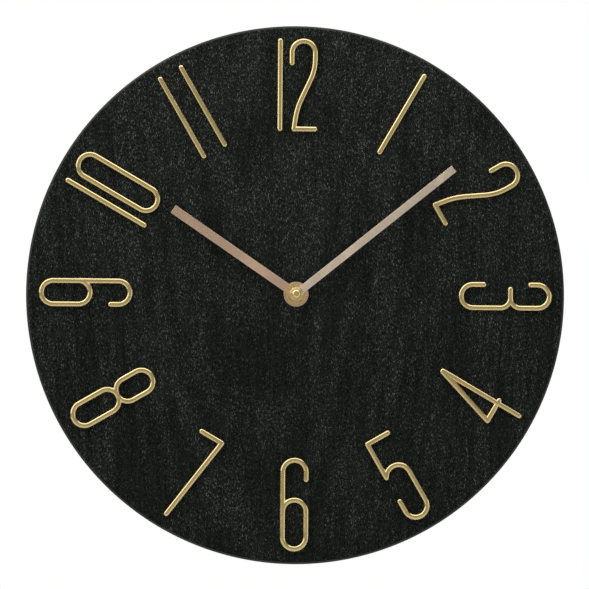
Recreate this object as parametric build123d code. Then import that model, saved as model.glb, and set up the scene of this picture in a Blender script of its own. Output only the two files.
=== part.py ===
from build123d import *
import os
from math import acos, cos, pi, radians, sin, tan

# A round quartz wall clock, 12-inch class: a film-faced board with raised numerals, two hands,
# and a battery movement let into a pocket in the back.
# Everything is drawn face up in millimetres: X to the right of the dial, Y towards 12, Z from
# the wall to the viewer, with the hands' axis at X = Y = 0 and the wall at Z = 0. Each node is
# stood upright as it is written, so the finished clock faces -Y with 12 at +Z.

# ---------------------------------------------------------------- driving sizes
# Board and its film
board_diameter = 300.0
board_thickness = 16.0
board_web = 3.0            # what is left of the board in front of the movement
board_front_round = 1.2
board_back_round = 0.6
film_thickness = 0.3
pocket_gap = 2.0           # all round the movement
pocket_corner = 5.0

# Numerals
numeral_height = 52.5
numeral_width = 16.3
numeral_stroke = 3.3
numeral_relief = 2.2
numeral_round = 0.9
numeral_edge_margin = 6.9
pair_left = -9.7           # the 1 of 10 and 12
pair_right = 3.35          # the 0 of 10 and the 2 of 12
eleven_spacing = 13.3

# Hands and the time they show
shown_hour = 10
shown_minute = 8.5
hand_thickness = 0.5
hand_bevel = 0.12
hour_hand_length = 83.1
hour_hand_width = 5.0
hour_hub_radius = 6.9
minute_hand_length = 112.4
minute_hand_width = 4.25
minute_hub_radius = 6.2
hour_hand_clearance = 0.5  # behind the hour hand, above the bush
hand_spacing = 1.3         # between the two hands
tube_proud = 0.4           # hour tube in front of its hand

# Hand nut
nut_flange_radius = 4.0
nut_flange_height = 0.7
nut_step_radius = 3.35
nut_step_height = 0.5
nut_dome_radius = 2.7
nut_dome_height = 2.0
nut_dome_round = 1.6
nut_flange_chamfer = 0.18
nut_roof = 0.8

# Bush and what clamps the movement to the board
bush_radius = 4.0
bush_flange_radius = 5.6
bush_flange_height = 0.8
bush_proud = 0.4
bush_hole_gap = 0.2
washer_radius = 6.4
washer_thickness = 0.5
hex_across_flats = 10.0
hex_height = 2.0
gasket_radius = 10.0
gasket_thickness = 1.0

# Battery, AA size
battery_radius = 7.25
battery_body_length = 49.5
battery_nub_radius = 2.7
battery_nub_length = 1.0
battery_gap = 0.35
battery_front_gap = 0.1

# Movement case
movement_depth = 16.0
case_wall = 1.2
case_front_wall = 1.0
case_corner = 3.0
cover_thickness = 1.2
chamber_half_width_gap = 0.3
chamber_top = 26.8         # from the hands' axis to the inside of the top wall
chamber_bottom = 10.4      # from the hands' axis to the battery partition
contact_thickness = 0.3
contact_width = 8.7
spring_leaf_height = 10.15     # of the bowed leaf, along the movement's depth
negative_room = 1.9        # for the bent spring contact
positive_room = 1.2
finger_notch_radius = 9.0
post_radius = 2.0
post_inset = 2.3

# Wheel train: each pair shares one centre distance
tooth_pressure_angle = 25.0
wheel_addendum = 0.6       # in modules
pinion_addendum = 0.85
tooth_dedendum = 1.05
tooth_backlash = 0.12      # share of the circular pitch
wheel_thickness = 0.7
rotor_distance = 5.4
intermediate_distance = 8.75
third_distance = 8.5
reduction_distance = 8.4
intermediate_bearing = 60.0    # directions from one arbor to the next, in degrees
rotor_bearing = 20.0
third_bearing = 165.0
reduction_bearing = -20.0
knob_bearing = 20.0
rotor_teeth = 10
intermediate_wheel_teeth = 50
intermediate_pinion_teeth = 10
second_wheel_teeth = 60
second_pinion_teeth = 8
third_wheel_teeth = 60
third_pinion_teeth = 8
centre_wheel_teeth = 64
cannon_teeth = 12
reduction_wheel_teeth = 36
reduction_pinion_teeth = 10
hour_wheel_teeth = 40
knob_teeth = 12

# Arbors
running_gap = 0.05         # radial, at every pivot and tube
end_shake = 0.1
arbor_radius = 0.5
pivot_radius = 0.3
pivot_length = 0.5
boss_radius = 1.2
boss_height = 0.7
minute_arbor_radius = 1.5
minute_thread_radius = 1.25
hour_tube_radius = 2.5

# Depths inside the movement, from the wall side forwards
magnet_back = 2.1
magnet_length = 1.5
magnet_radius = 2.5
stator_back = 2.2
stator_thickness = 1.0
intermediate_wheel_back = 3.9
rotor_pinion_back = 3.8
rotor_pinion_length = 1.0
second_wheel_back = 5.2
third_wheel_back = 6.45
centre_wheel_back = 7.8
plate_back = 8.9
plate_thickness = 1.0
cannon_length = 1.4
reduction_wheel_lift = 0.6     # above the middle plate
hour_wheel_lift = 0.4          # above the back end of its tube

# Motor and circuit
stator_ring_radius = 4.4
stator_hole_radius = 3.0
stator_half_span = 12.5
stator_leg_width = 4.5
stator_bar_width = 3.0
stator_bar_rise = 1.2          # of the bar's lower edge over the rotor's axis
stator_top = 24.0
stator_slit = 0.6
core_width = 4.0
bobbin_half_length = 7.0
bobbin_flange = 1.0
bobbin_wall = 0.5
winding_build = 1.2
flange_build = 1.4
circuit_width = 11.5
circuit_length = 34.0
circuit_thickness = 1.0
circuit_centre = (-16.2, 8.0)
chip_radius = 3.2
chip_height = 1.1
chip_round = 1.0
crystal_radius = 1.0
crystal_length = 6.0

# Setting knob
knob_radius = 5.2
knob_hole_gap = 0.3
knob_thickness = 1.0
knob_recess = 0.1              # behind the cover's face
knob_grips = 18
knob_grip_radius = 0.45
knob_stem_radius = 1.4

# Hanger plate, its screws and the wall pads
hanger_edge_margin = 42.0      # from the rim to the plate's centre
hanger_width = 20.0
hanger_length = 48.0
hanger_thickness = 1.2
hanger_corner = 3.0
keyhole_radius = 4.0
keyhole_slot_width = 4.4
keyhole_drop = 5.0             # of the round hole below the plate's centre
keyhole_travel = 11.0          # from the round hole up to the slot's end
head_recess_gap = 2.0          # round the screw head
head_recess_depth = 6.5
hanger_screw_spacing = 38.0
screw_radius = 1.5
screw_head_radius = 2.9
screw_length = 11.0
screw_cross = 0.7
pad_radius = 6.0
pad_edge_margin = 28.0
pad_round = 0.8

# ---------------------------------------------------------------- derived levels
board_radius = board_diameter / 2
pocket_floor = movement_depth + gasket_thickness
board_front = pocket_floor + board_web
board_back = board_front - board_thickness
film_front = board_front + film_thickness
washer_front = film_front + washer_thickness
hex_front = washer_front + hex_height
bush_front = hex_front + bush_proud
hour_hand_back = bush_front + hour_hand_clearance
tube_front = hour_hand_back + hand_thickness + tube_proud
minute_hand_back = hour_hand_back + hand_thickness + hand_spacing
nut_back = minute_hand_back + hand_thickness
nut_front = nut_back + nut_flange_height + nut_step_height + nut_dome_height
case_inner_front = movement_depth - case_front_wall
core_y = stator_top - core_width / 2

battery_length = battery_body_length + battery_nub_length
bay_length = battery_length + negative_room + positive_room
case_half_width = bay_length / 2 + case_wall
bay_top = -(chamber_bottom + case_wall)
bay_bottom = bay_top - 2 * (battery_radius + battery_gap)
case_bottom = bay_bottom - case_wall
case_top = chamber_top + case_wall
battery_y = (bay_top + bay_bottom) / 2
battery_z = case_inner_front - battery_front_gap - battery_radius

numeral_ring_radius = board_radius - numeral_edge_margin - numeral_height / 2
minute_angle = 6.0 * shown_minute
hour_angle = 30.0 * shown_hour + minute_angle / 12


def polar(distance, bearing):
    """The point at a distance and a bearing, counter-clockwise from +X."""
    return (distance * cos(radians(bearing)), distance * sin(radians(bearing)))


def shifted(point, step):
    return (point[0] + step[0], point[1] + step[1])


intermediate_at = polar(intermediate_distance, intermediate_bearing)
rotor_at = shifted(intermediate_at, polar(rotor_distance, rotor_bearing))
third_at = polar(third_distance, third_bearing)
reduction_at = polar(reduction_distance, reduction_bearing)
knob_module = 2 * reduction_distance / (cannon_teeth + reduction_wheel_teeth)
knob_distance = knob_module * (reduction_wheel_teeth + knob_teeth) / 2
knob_at = shifted(reduction_at, polar(knob_distance, knob_bearing))

nodes = {}


def disc(radius, back, front, at=(0, 0)):
    """A round bar between two depths."""
    return Pos(at[0], at[1], back) * extrude(Circle(radius), front - back)


def block(low, high, back, front):
    """A rectangular bar between two corners and two depths."""
    centre = ((low[0] + high[0]) / 2, (low[1] + high[1]) / 2, back)
    return Pos(*centre) * extrude(Rectangle(high[0] - low[0], high[1] - low[1]), front - back)


def slab(outline, back, front):
    """A flat outline given depth."""
    return Pos(0, 0, back) * extrude(outline, front - back)


# ---------------------------------------------------------------- board and film
hanger_y = board_radius - hanger_edge_margin
hanger_screw_ys = [hanger_y - hanger_screw_spacing / 2, hanger_y + hanger_screw_spacing / 2]
hanger_front = board_back + hanger_thickness


def make_board():
    body = disc(board_radius, board_back, board_front)
    body = fillet(body.edges().group_by(Axis.Z)[-1], board_front_round)
    body = fillet(body.edges().group_by(Axis.Z)[0], board_back_round)
    pocket_height = case_top - case_bottom + 2 * pocket_gap
    pocket_width = 2 * (case_half_width + pocket_gap)
    pocket = RectangleRounded(pocket_width, pocket_height, pocket_corner)
    body -= slab(Pos(0, (case_top + case_bottom) / 2) * pocket, board_back, pocket_floor)
    body -= disc(bush_radius + bush_hole_gap, pocket_floor, board_front)
    seat = Pos(0, hanger_y) * RectangleRounded(hanger_width, hanger_length, hanger_corner)
    body -= slab(seat, board_back, hanger_front)
    head_width = 2 * (keyhole_radius + head_recess_gap)
    recess = SlotOverall(keyhole_travel + head_width, head_width, rotation=90)
    recess = Pos(0, hanger_y - keyhole_drop + keyhole_travel / 2) * recess
    body -= slab(recess, hanger_front, board_back + head_recess_depth)
    for y in hanger_screw_ys:
        body -= disc(screw_radius, hanger_front, board_back + screw_length, (0, y))
    return body


nodes["dial_board"] = make_board()
film_ring = Circle(board_radius - board_front_round) - Circle(bush_radius + bush_hole_gap)
nodes["grain_film"] = slab(film_ring, board_front, film_front)


# ---------------------------------------------------------------- numerals
half_height = (numeral_height - numeral_stroke) / 2
bowl = (numeral_width - numeral_stroke) / 2    # half width and bowl radius, to the stroke's centre


def stroke(*edges):
    """The outline of one stroke of constant width with round ends."""
    outline = Wire(edges).offset_2d(numeral_stroke / 2, kind=Kind.ARC)
    return make_face(outline.edges())


def loop(top, bottom):
    """A closed ring with half-round ends, between two heights of its centre line."""
    outer = SlotOverall(top - bottom + numeral_stroke, 2 * bowl + numeral_stroke, rotation=90)
    inner = SlotOverall(top - bottom - numeral_stroke, 2 * bowl - numeral_stroke, rotation=90)
    return Pos(0, (top + bottom) / 2) * (outer - inner)


def digit_0():
    return [loop(half_height, -half_height)]


def digit_1():
    return [stroke(Line((0, -half_height), (0, half_height)))]


def digit_2():
    hook_end, shoulder = 12.2, 14.5
    lean, neck_radius, foot_radius, foot_lean = 25.0, 27.0, 38.0, 8.0
    neck_end, foot_end = -8.0, -half_height
    arc_y = half_height - bowl
    neck = JernArc((bowl, shoulder), (0, -1), neck_radius, -lean)
    slope = Line(neck @ 1, neck @ 1 + (neck % 1) * ((neck @ 1).Y - neck_end) / cos(radians(lean)))
    ankle = JernArc(slope @ 1, slope % 1, foot_radius, lean - foot_lean)
    foot_drop = ((ankle @ 1).Y - foot_end) / cos(radians(foot_lean))
    foot = Line(ankle @ 1, ankle @ 1 + (ankle % 1) * foot_drop)
    body = stroke(
        Line((-bowl, hook_end), (-bowl, arc_y)),
        CenterArc((0, arc_y), bowl, 180, -180),
        Line((bowl, arc_y), (bowl, shoulder)),
        neck, slope, ankle, foot,
    )
    return [body, stroke(Line(((foot @ 1).X, foot_end), (bowl, foot_end)))]


def digit_3():
    waist, waist_end, bend = 2.9, -3.9, 5.6
    hook_top, hook_bottom = 14.2, -12.0
    arc_y = half_height - bowl
    upper = stroke(
        Line((-bowl, hook_top), (-bowl, arc_y)),
        CenterArc((0, arc_y), bowl, 180, -180),
        Line((bowl, arc_y), (bowl, waist + bend)),
        CenterArc((bowl - bend, waist + bend), bend, 0, -90),
        Line((bowl - bend, waist), (waist_end, waist)),
    )
    lower = stroke(
        Line((bowl - bend - 1, waist), (bowl - bend, waist)),
        CenterArc((bowl - bend, waist - bend), bend, 90, -90),
        Line((bowl, waist - bend), (bowl, -arc_y)),
        CenterArc((0, -arc_y), bowl, 0, -180),
        Line((-bowl, -arc_y), (-bowl, hook_bottom)),
    )
    return [upper, lower]


def digit_4():
    post, bar_y, peak = 4.85, -10.75, 4.4
    post_line = stroke(Line((post, -half_height), (post, half_height)))
    slope = stroke(Line((peak, half_height), (-bowl, bar_y)))
    return [post_line, slope, stroke(Line((-bowl, bar_y), (bowl, bar_y)))]


def digit_5():
    shoulder, bowl_start, bowl_y, hook_end = 3.4, 3.2, 0.6, -11.9
    arc_y = half_height - bowl
    top_bar = stroke(Line((-bowl, half_height), (bowl, half_height)))
    back = stroke(Line((-bowl, half_height), (-bowl, shoulder)))
    body = stroke(
        ThreePointArc((-bowl, bowl_start), (0, bowl_y + bowl), (bowl, bowl_y)),
        Line((bowl, bowl_y), (bowl, -arc_y)),
        CenterArc((0, -arc_y), bowl, 0, -180),
        Line((-bowl, -arc_y), (-bowl, hook_end)),
    )
    return [top_bar, back, body]


def digit_6():
    loop_top, hook_end = 2.45, 13.9
    arc_y = half_height - bowl
    tail = stroke(
        Line((bowl, hook_end), (bowl, arc_y)),
        CenterArc((0, arc_y), bowl, 0, 180),
        Line((-bowl, arc_y), (-bowl, -arc_y)),
    )
    return [loop(loop_top, -half_height), tail]


def digit_7():
    foot = -0.3
    top_bar = stroke(Line((-bowl, half_height), (bowl, half_height)))
    return [top_bar, stroke(Line((bowl, half_height), (foot, -half_height)))]


def digit_8():
    waist = 2.9
    return [loop(half_height, waist), loop(waist, -half_height)]


def digit_9():
    return [Rot(0, 0, 180) * outline for outline in digit_6()]


def hour_digits(hour):
    """Each digit of one hour's numeral, as its place across and its strokes."""
    if hour == 11:
        return [(-eleven_spacing / 2, digit_1()), (eleven_spacing / 2, digit_1())]
    if hour in (10, 12):
        return [(pair_left, digit_1()), (pair_right, digit_0() if hour == 10 else digit_2())]
    single = [digit_1, digit_2, digit_3, digit_4, digit_5, digit_6, digit_7, digit_8, digit_9]
    return [(0, single[hour - 1]())]


def rounded_bar(outline):
    """One stroke given its relief, with its front edges rounded."""
    body = extrude(outline, numeral_relief)
    return fillet(body.edges().group_by(Axis.Z)[-1], numeral_round)


def make_numeral(hour):
    """A rounded bar numeral stuck on the film, its foot turned the way the dial reads."""
    clockwise = 30.0 * hour
    turned = 180.0 if 4 <= hour <= 8 else 0.0
    x, y = polar(numeral_ring_radius, 90 - clockwise)
    place = Pos(x, y, film_front) * Rot(0, 0, turned - clockwise)
    pieces = []
    for across, strokes in hour_digits(hour):
        body = rounded_bar(strokes[0])
        for outline in strokes[1:]:
            body += rounded_bar(outline)
        pieces.extend((place * Pos(across, 0, 0) * body).solids())
    return Compound(pieces)


for hour in range(1, 13):
    nodes[f"numeral_{hour}"] = make_numeral(hour)


# ---------------------------------------------------------------- hands and hand nut
def make_hand(length, width, hub_radius, hole_radius, back, clockwise):
    outline = Circle(hub_radius) + Pos(0, length / 2) * Rectangle(width, length)
    body = slab(outline, back, back + hand_thickness)
    body = chamfer(body.edges().group_by(Axis.Z)[-1], hand_bevel)
    body -= disc(hole_radius, back, back + hand_thickness)
    return Rot(0, 0, -clockwise) * body


nodes["hour_hand"] = make_hand(
    hour_hand_length, hour_hand_width, hour_hub_radius, hour_tube_radius,
    hour_hand_back, hour_angle,
)
nodes["minute_hand"] = make_hand(
    minute_hand_length, minute_hand_width, minute_hub_radius, minute_thread_radius,
    minute_hand_back, minute_angle,
)


def make_hand_nut():
    step_back = nut_back + nut_flange_height
    dome_back = step_back + nut_step_height
    body = disc(nut_flange_radius, nut_back, step_back)
    body = chamfer(body.edges().group_by(Axis.Z)[-1], nut_flange_chamfer)
    body += disc(nut_step_radius, step_back, dome_back)
    dome = disc(nut_dome_radius, dome_back, nut_front)
    body += fillet(dome.edges().group_by(Axis.Z)[-1], nut_dome_round)
    return body - disc(minute_thread_radius, nut_back, nut_front - nut_roof)


nodes["hand_nut"] = make_hand_nut()


# ---------------------------------------------------------------- bush, washer, nut, gasket
tube_bore = minute_arbor_radius + running_gap
bush_bore = hour_tube_radius + running_gap
bush_back = case_inner_front - bush_flange_height


def make_bush():
    body = disc(bush_radius, bush_back, bush_front)
    body = chamfer(body.edges().group_by(Axis.Z)[-1], bush_proud / 2)
    body += disc(bush_flange_radius, bush_back, case_inner_front)
    return body - disc(bush_bore, bush_back, bush_front)


def make_hex_nut():
    outline = RegularPolygon(hex_across_flats / 2, 6, major_radius=False)
    body = slab(outline, washer_front, hex_front)
    return body - disc(bush_radius, washer_front, hex_front)


nodes["threaded_bush"] = make_bush()
nodes["bush_nut"] = make_hex_nut()
nodes["bush_washer"] = slab(Circle(washer_radius) - Circle(bush_radius), film_front, washer_front)
nodes["rubber_gasket"] = slab(
    Circle(gasket_radius) - Circle(bush_radius), movement_depth, pocket_floor
)

# ---------------------------------------------------------------- movement case
case_outline = Pos(0, (case_top + case_bottom) / 2) * RectangleRounded(
    2 * case_half_width, case_top - case_bottom, case_corner
)
chamber_half_width = case_half_width - case_wall
post_xs = (post_inset - chamber_half_width, chamber_half_width - post_inset)
post_ys = (post_inset - chamber_bottom, chamber_top - post_inset)
post_places = [(x, y) for x in post_xs for y in post_ys]
plate_front = plate_back + plate_thickness
front_pivot_depth = pivot_length + end_shake


def make_front_case():
    body = slab(case_outline, 0, movement_depth)
    chamber_low = (-chamber_half_width, -chamber_bottom)
    chamber_high = (chamber_half_width, chamber_top)
    body -= block(chamber_low, chamber_high, 0, case_inner_front)
    bay_low = (-bay_length / 2, bay_bottom)
    body -= block(bay_low, (bay_length / 2, bay_top), 0, case_inner_front)
    # the back cover closes the chamber, down to the middle of the partition
    cover_low = (-case_half_width, -chamber_bottom - case_wall / 2)
    body -= block(cover_low, (case_half_width, case_top), 0, cover_thickness)
    notch_at = (0, case_bottom)
    body -= disc(finger_notch_radius, 0, battery_z, notch_at) & block(
        (-finger_notch_radius, case_bottom), (finger_notch_radius, bay_bottom), 0, battery_z
    )
    for place in post_places:
        body += disc(post_radius, plate_front, case_inner_front, place)
    body -= disc(bush_radius, case_inner_front, movement_depth)
    for place in (reduction_at, knob_at):
        hole = pivot_radius + running_gap
        body -= disc(hole, case_inner_front, case_inner_front + front_pivot_depth, place)
    return body


def make_back_cover():
    edge = -chamber_bottom - case_wall / 2
    whole = slab(case_outline, 0, cover_thickness)
    body = whole & block((-case_half_width, edge), (case_half_width, case_top), 0, cover_thickness)
    for place in post_places:
        body += disc(post_radius, cover_thickness, plate_back, place)
    for place in train_places:
        body += disc(boss_radius, cover_thickness, cover_thickness + boss_height, place)
    for side in (-1, 1):
        pad_at = (rotor_at[0] + side * (stator_half_span - stator_leg_width / 2), core_y)
        body += disc(core_width / 2, cover_thickness, stator_back, pad_at)
    for place in train_places:
        hole = pivot_radius + running_gap
        body -= disc(hole, cover_thickness, cover_thickness + boss_height, place)
    return body - disc(knob_radius + knob_hole_gap, 0, cover_thickness, knob_at)


def make_middle_plate():
    low = (chamber_half_width_gap - chamber_half_width, chamber_half_width_gap - chamber_bottom)
    high = (chamber_half_width - chamber_half_width_gap, chamber_top - chamber_half_width_gap)
    body = block(low, high, plate_back, plate_front)
    for place in (rotor_at, intermediate_at, third_at, reduction_at):
        body -= disc(pivot_radius + running_gap, plate_back, plate_front, place)
    body -= disc(minute_arbor_radius + running_gap, plate_back, plate_front)
    return body - disc(knob_stem_radius + running_gap, plate_back, plate_front, knob_at)


train_places = [(0, 0), intermediate_at, rotor_at, third_at]
nodes["movement_front_case"] = make_front_case()
nodes["movement_back_cover"] = make_back_cover()
nodes["middle_plate"] = make_middle_plate()


# ---------------------------------------------------------------- wheels and pinions
def tooth_angle(radius, base, half_at_pitch, pressure):
    """Half the angle that an involute tooth spans at a radius."""
    here = acos(min(1.0, base / radius))
    return half_at_pitch + (tan(pressure) - pressure) - (tan(here) - here)


def gear_outline(teeth, module, addendum, phase):
    """A toothed outline whose first tooth points along the phase angle, in radians."""
    pressure = radians(tooth_pressure_angle)
    pitch_radius = teeth * module / 2
    base = pitch_radius * cos(pressure)
    tip = pitch_radius + addendum * module
    root = pitch_radius - tooth_dedendum * module
    flank = max(base, root)
    middle = (flank + tip) / 2
    half_at_pitch = pi * (1 - tooth_backlash) / (2 * teeth)
    at_flank, at_middle, at_tip = (
        tooth_angle(radius, base, half_at_pitch, pressure) for radius in (flank, middle, tip)
    )
    pitch = 2 * pi / teeth

    def point(radius, angle):
        return (radius * cos(angle), radius * sin(angle))

    edges = []
    for tooth in range(teeth):
        here = phase + tooth * pitch
        low, high = here - at_flank, here + at_flank
        if root < flank:
            edges.append(Line(point(root, low), point(flank, low)))
        edges.append(ThreePointArc(
            point(flank, low), point(middle, here - at_middle), point(tip, here - at_tip)))
        edges.append(ThreePointArc(
            point(tip, here - at_tip), point(tip, here), point(tip, here + at_tip)))
        edges.append(ThreePointArc(
            point(tip, here + at_tip), point(middle, here + at_middle), point(flank, high)))
        if root < flank:
            edges.append(Line(point(flank, high), point(root, high)))
        edges.append(ThreePointArc(
            point(root, high), point(root, here + pitch / 2), point(root, low + pitch)))
    return make_face(Wire(edges).edges())


def meshed_phase(teeth, phase, bearing, other_teeth):
    """The phase that puts a gear's gaps on the teeth of the gear it meets."""
    contact = radians(bearing)
    share = (contact - phase) * teeth / (2 * pi)
    return contact + pi - (2 * pi / other_teeth) * (0.5 - share)


def pair_module(distance, teeth, other_teeth):
    return 2 * distance / (teeth + other_teeth)


def gear(teeth, module, addendum, phase, back, front, at=(0, 0)):
    outline = gear_outline(teeth, module, addendum, phase)
    return Pos(at[0], at[1], 0) * slab(outline, back, front)


def arbor(at, back, front):
    """A spindle between two faces, with a thinner pivot at each end."""
    body = disc(arbor_radius, back, front, at)
    return body + disc(pivot_radius, back - pivot_length, front + pivot_length, at)


going_back = cover_thickness + boss_height + end_shake
going_front = plate_back - end_shake

# motion work: cannon pinion, reduction wheel, hour wheel, setting knob
cannon_back = plate_front + end_shake
cannon_front = cannon_back + cannon_length
centre_module = pair_module(third_distance, centre_wheel_teeth, third_pinion_teeth)
motion_module = pair_module(reduction_distance, cannon_teeth, reduction_wheel_teeth)
hour_module = pair_module(reduction_distance, reduction_pinion_teeth, hour_wheel_teeth)
reduction_back = plate_front + reduction_wheel_lift
reduction_phase = meshed_phase(cannon_teeth, 0, reduction_bearing, reduction_wheel_teeth)
reduction_pinion_phase = meshed_phase(
    hour_wheel_teeth, 0, reduction_bearing, reduction_pinion_teeth
)
knob_phase = meshed_phase(reduction_wheel_teeth, reduction_phase, knob_bearing, knob_teeth)
tube_back = cannon_front + end_shake
hour_wheel_back = tube_back + hour_wheel_lift
hour_wheel_front = hour_wheel_back + wheel_thickness


def make_hour_wheel():
    body = gear(hour_wheel_teeth, hour_module, wheel_addendum, 0,
                hour_wheel_back, hour_wheel_front)
    body += disc(hour_tube_radius, tube_back, tube_front)
    return body - disc(tube_bore, tube_back, tube_front)


def make_minute_arbor():
    """Steel arbor with the cannon pinion cut on it and a thread for the hand nut."""
    arbor_back = centre_wheel_back - wheel_thickness / 2
    body = disc(minute_arbor_radius, arbor_back, minute_hand_back)
    body += gear(cannon_teeth, motion_module, pinion_addendum, 0, cannon_back, cannon_front)
    body += disc(minute_thread_radius, minute_hand_back, nut_front - nut_roof)
    socket = pivot_radius + running_gap
    return body - disc(socket, arbor_back, centre_wheel_back + wheel_thickness)


def make_centre_wheel():
    front = centre_wheel_back + wheel_thickness
    body = gear(centre_wheel_teeth, centre_module, wheel_addendum, 0, centre_wheel_back, front)
    return body - disc(minute_arbor_radius, centre_wheel_back, front)


def make_reduction_wheel():
    front = reduction_back + wheel_thickness
    body = gear(reduction_wheel_teeth, motion_module, wheel_addendum, reduction_phase,
                reduction_back, front, reduction_at)
    body += gear(reduction_pinion_teeth, hour_module, pinion_addendum, reduction_pinion_phase,
                 front, hour_wheel_front + end_shake, reduction_at)
    return body + arbor(reduction_at, plate_front + end_shake, case_inner_front - end_shake)


def make_knob():
    back = knob_recess
    body = disc(knob_radius, back, back + knob_thickness, knob_at)
    for grip in range(knob_grips):
        x, y = shifted(knob_at, polar(knob_radius, 360.0 * grip / knob_grips))
        body -= disc(knob_grip_radius, back, back + knob_thickness, (x, y))
    body += disc(knob_stem_radius, back, reduction_back, knob_at)
    body += gear(knob_teeth, motion_module, pinion_addendum, knob_phase,
                 reduction_back - end_shake, reduction_back + wheel_thickness + end_shake, knob_at)
    tip = case_inner_front - end_shake
    body += disc(arbor_radius, reduction_back, tip, knob_at)
    return body + disc(pivot_radius, tip, tip + pivot_length, knob_at)


nodes["hour_wheel"] = make_hour_wheel()
nodes["minute_arbor"] = make_minute_arbor()
nodes["centre_wheel"] = make_centre_wheel()
nodes["reduction_wheel"] = make_reduction_wheel()
nodes["setting_knob"] = make_knob()

# going train: rotor, intermediate, second and third wheels
third_module = pair_module(third_distance, second_pinion_teeth, third_wheel_teeth)
second_module = pair_module(
    intermediate_distance, intermediate_pinion_teeth, second_wheel_teeth
)
rotor_module = pair_module(rotor_distance, rotor_teeth, intermediate_wheel_teeth)


def make_third_wheel():
    front = third_wheel_back + wheel_thickness
    wheel_phase = meshed_phase(second_pinion_teeth, 0, third_bearing, third_wheel_teeth)
    pinion_phase = meshed_phase(centre_wheel_teeth, 0, third_bearing, third_pinion_teeth)
    body = gear(third_wheel_teeth, third_module, wheel_addendum, wheel_phase,
                third_wheel_back, front, third_at)
    body += gear(third_pinion_teeth, centre_module, pinion_addendum, pinion_phase,
                 centre_wheel_back - end_shake, going_front, third_at)
    return body + arbor(third_at, going_back, going_front)


def make_second_wheel():
    front = second_wheel_back + wheel_thickness
    arbor_front = centre_wheel_back - wheel_thickness / 2 - end_shake
    body = gear(second_wheel_teeth, second_module, wheel_addendum, 0, second_wheel_back, front)
    body += gear(second_pinion_teeth, third_module, pinion_addendum, 0,
                 third_wheel_back - end_shake, arbor_front)
    return body + arbor((0, 0), going_back, arbor_front)


def make_intermediate_wheel():
    front = intermediate_wheel_back + wheel_thickness
    pinion_phase = meshed_phase(
        second_wheel_teeth, 0, intermediate_bearing, intermediate_pinion_teeth
    )
    body = gear(intermediate_wheel_teeth, rotor_module, wheel_addendum, 0,
                intermediate_wheel_back, front, intermediate_at)
    body += gear(intermediate_pinion_teeth, second_module, pinion_addendum, pinion_phase,
                 second_wheel_back - end_shake, second_wheel_back + wheel_thickness + end_shake,
                 intermediate_at)
    return body + arbor(intermediate_at, going_back, going_front)


def make_rotor_pinion():
    phase = meshed_phase(intermediate_wheel_teeth, 0, rotor_bearing, rotor_teeth)
    body = gear(rotor_teeth, rotor_module, pinion_addendum, phase,
                rotor_pinion_back, rotor_pinion_back + rotor_pinion_length, rotor_at)
    return body + arbor(rotor_at, going_back, going_front)


nodes["third_wheel"] = make_third_wheel()
nodes["second_wheel"] = make_second_wheel()
nodes["intermediate_wheel"] = make_intermediate_wheel()
nodes["rotor_pinion"] = make_rotor_pinion()
nodes["rotor_magnet"] = Pos(rotor_at[0], rotor_at[1], 0) * slab(
    Circle(magnet_radius) - Circle(arbor_radius), magnet_back, magnet_back + magnet_length
)


# ---------------------------------------------------------------- step motor and circuit
stator_front = stator_back + stator_thickness
core_front = stator_front + stator_thickness
core_z = (stator_front + core_front) / 2


def make_stator():
    """One flat lamination: a ring round the rotor, a slit bar and two legs up to the core."""
    x, y = rotor_at
    outline = Pos(x, y) * Circle(stator_ring_radius)
    bar_y = y + stator_bar_rise + stator_bar_width / 2
    outline += Pos(x, bar_y) * Rectangle(2 * stator_half_span, stator_bar_width)
    leg_height = stator_top - y - stator_bar_rise
    for side in (-1, 1):
        leg_x = x + side * (stator_half_span - stator_leg_width / 2)
        leg_y = stator_top - leg_height / 2
        outline += Pos(leg_x, leg_y) * Rectangle(stator_leg_width, leg_height)
    outline -= Pos(x, y) * Circle(stator_hole_radius)
    slit_depth = stator_ring_radius - stator_hole_radius
    for side in (-1, 1):
        slit_y = y + side * (stator_ring_radius + slit_depth / 2)
        outline -= Pos(x, slit_y) * Rectangle(stator_slit, 2 * slit_depth)
    return slab(outline, stator_back, stator_front)


def coil_ring(build, inside, half_length):
    """A rectangular sleeve round the core, lying along X."""
    outer = Rectangle(core_width + 2 * (inside + build), stator_thickness + 2 * (inside + build))
    inner = Rectangle(core_width + 2 * inside, stator_thickness + 2 * inside)
    along = Plane(origin=(rotor_at[0] - half_length, core_y, core_z), x_dir=(0, 1, 0),
                  z_dir=(1, 0, 0))
    return along * extrude(outer - inner, 2 * half_length)


def make_bobbin():
    body = coil_ring(bobbin_wall, 0, bobbin_half_length)
    end = coil_ring(bobbin_wall + flange_build, 0, bobbin_flange / 2)
    for side in (-1, 1):
        body += Pos(side * (bobbin_half_length - bobbin_flange / 2), 0, 0) * end
    return body


nodes["stator"] = make_stator()
nodes["coil_core"] = block(
    (rotor_at[0] - stator_half_span, stator_top - core_width),
    (rotor_at[0] + stator_half_span, stator_top),
    stator_front, core_front,
)
nodes["coil_bobbin"] = make_bobbin()
nodes["coil_winding"] = coil_ring(
    winding_build, bobbin_wall, bobbin_half_length - bobbin_flange
)

circuit_front = cover_thickness + circuit_thickness
circuit_low = (circuit_centre[0] - circuit_width / 2, circuit_centre[1] - circuit_length / 2)
circuit_high = (circuit_centre[0] + circuit_width / 2, circuit_centre[1] + circuit_length / 2)
nodes["circuit_board"] = block(circuit_low, circuit_high, cover_thickness, circuit_front)


def make_chip():
    """A low dome of resin over the bare chip."""
    at = (circuit_centre[0], circuit_centre[1] + circuit_length / 4)
    body = disc(chip_radius, circuit_front, circuit_front + chip_height, at)
    return fillet(body.edges().group_by(Axis.Z)[-1], chip_round)


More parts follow.
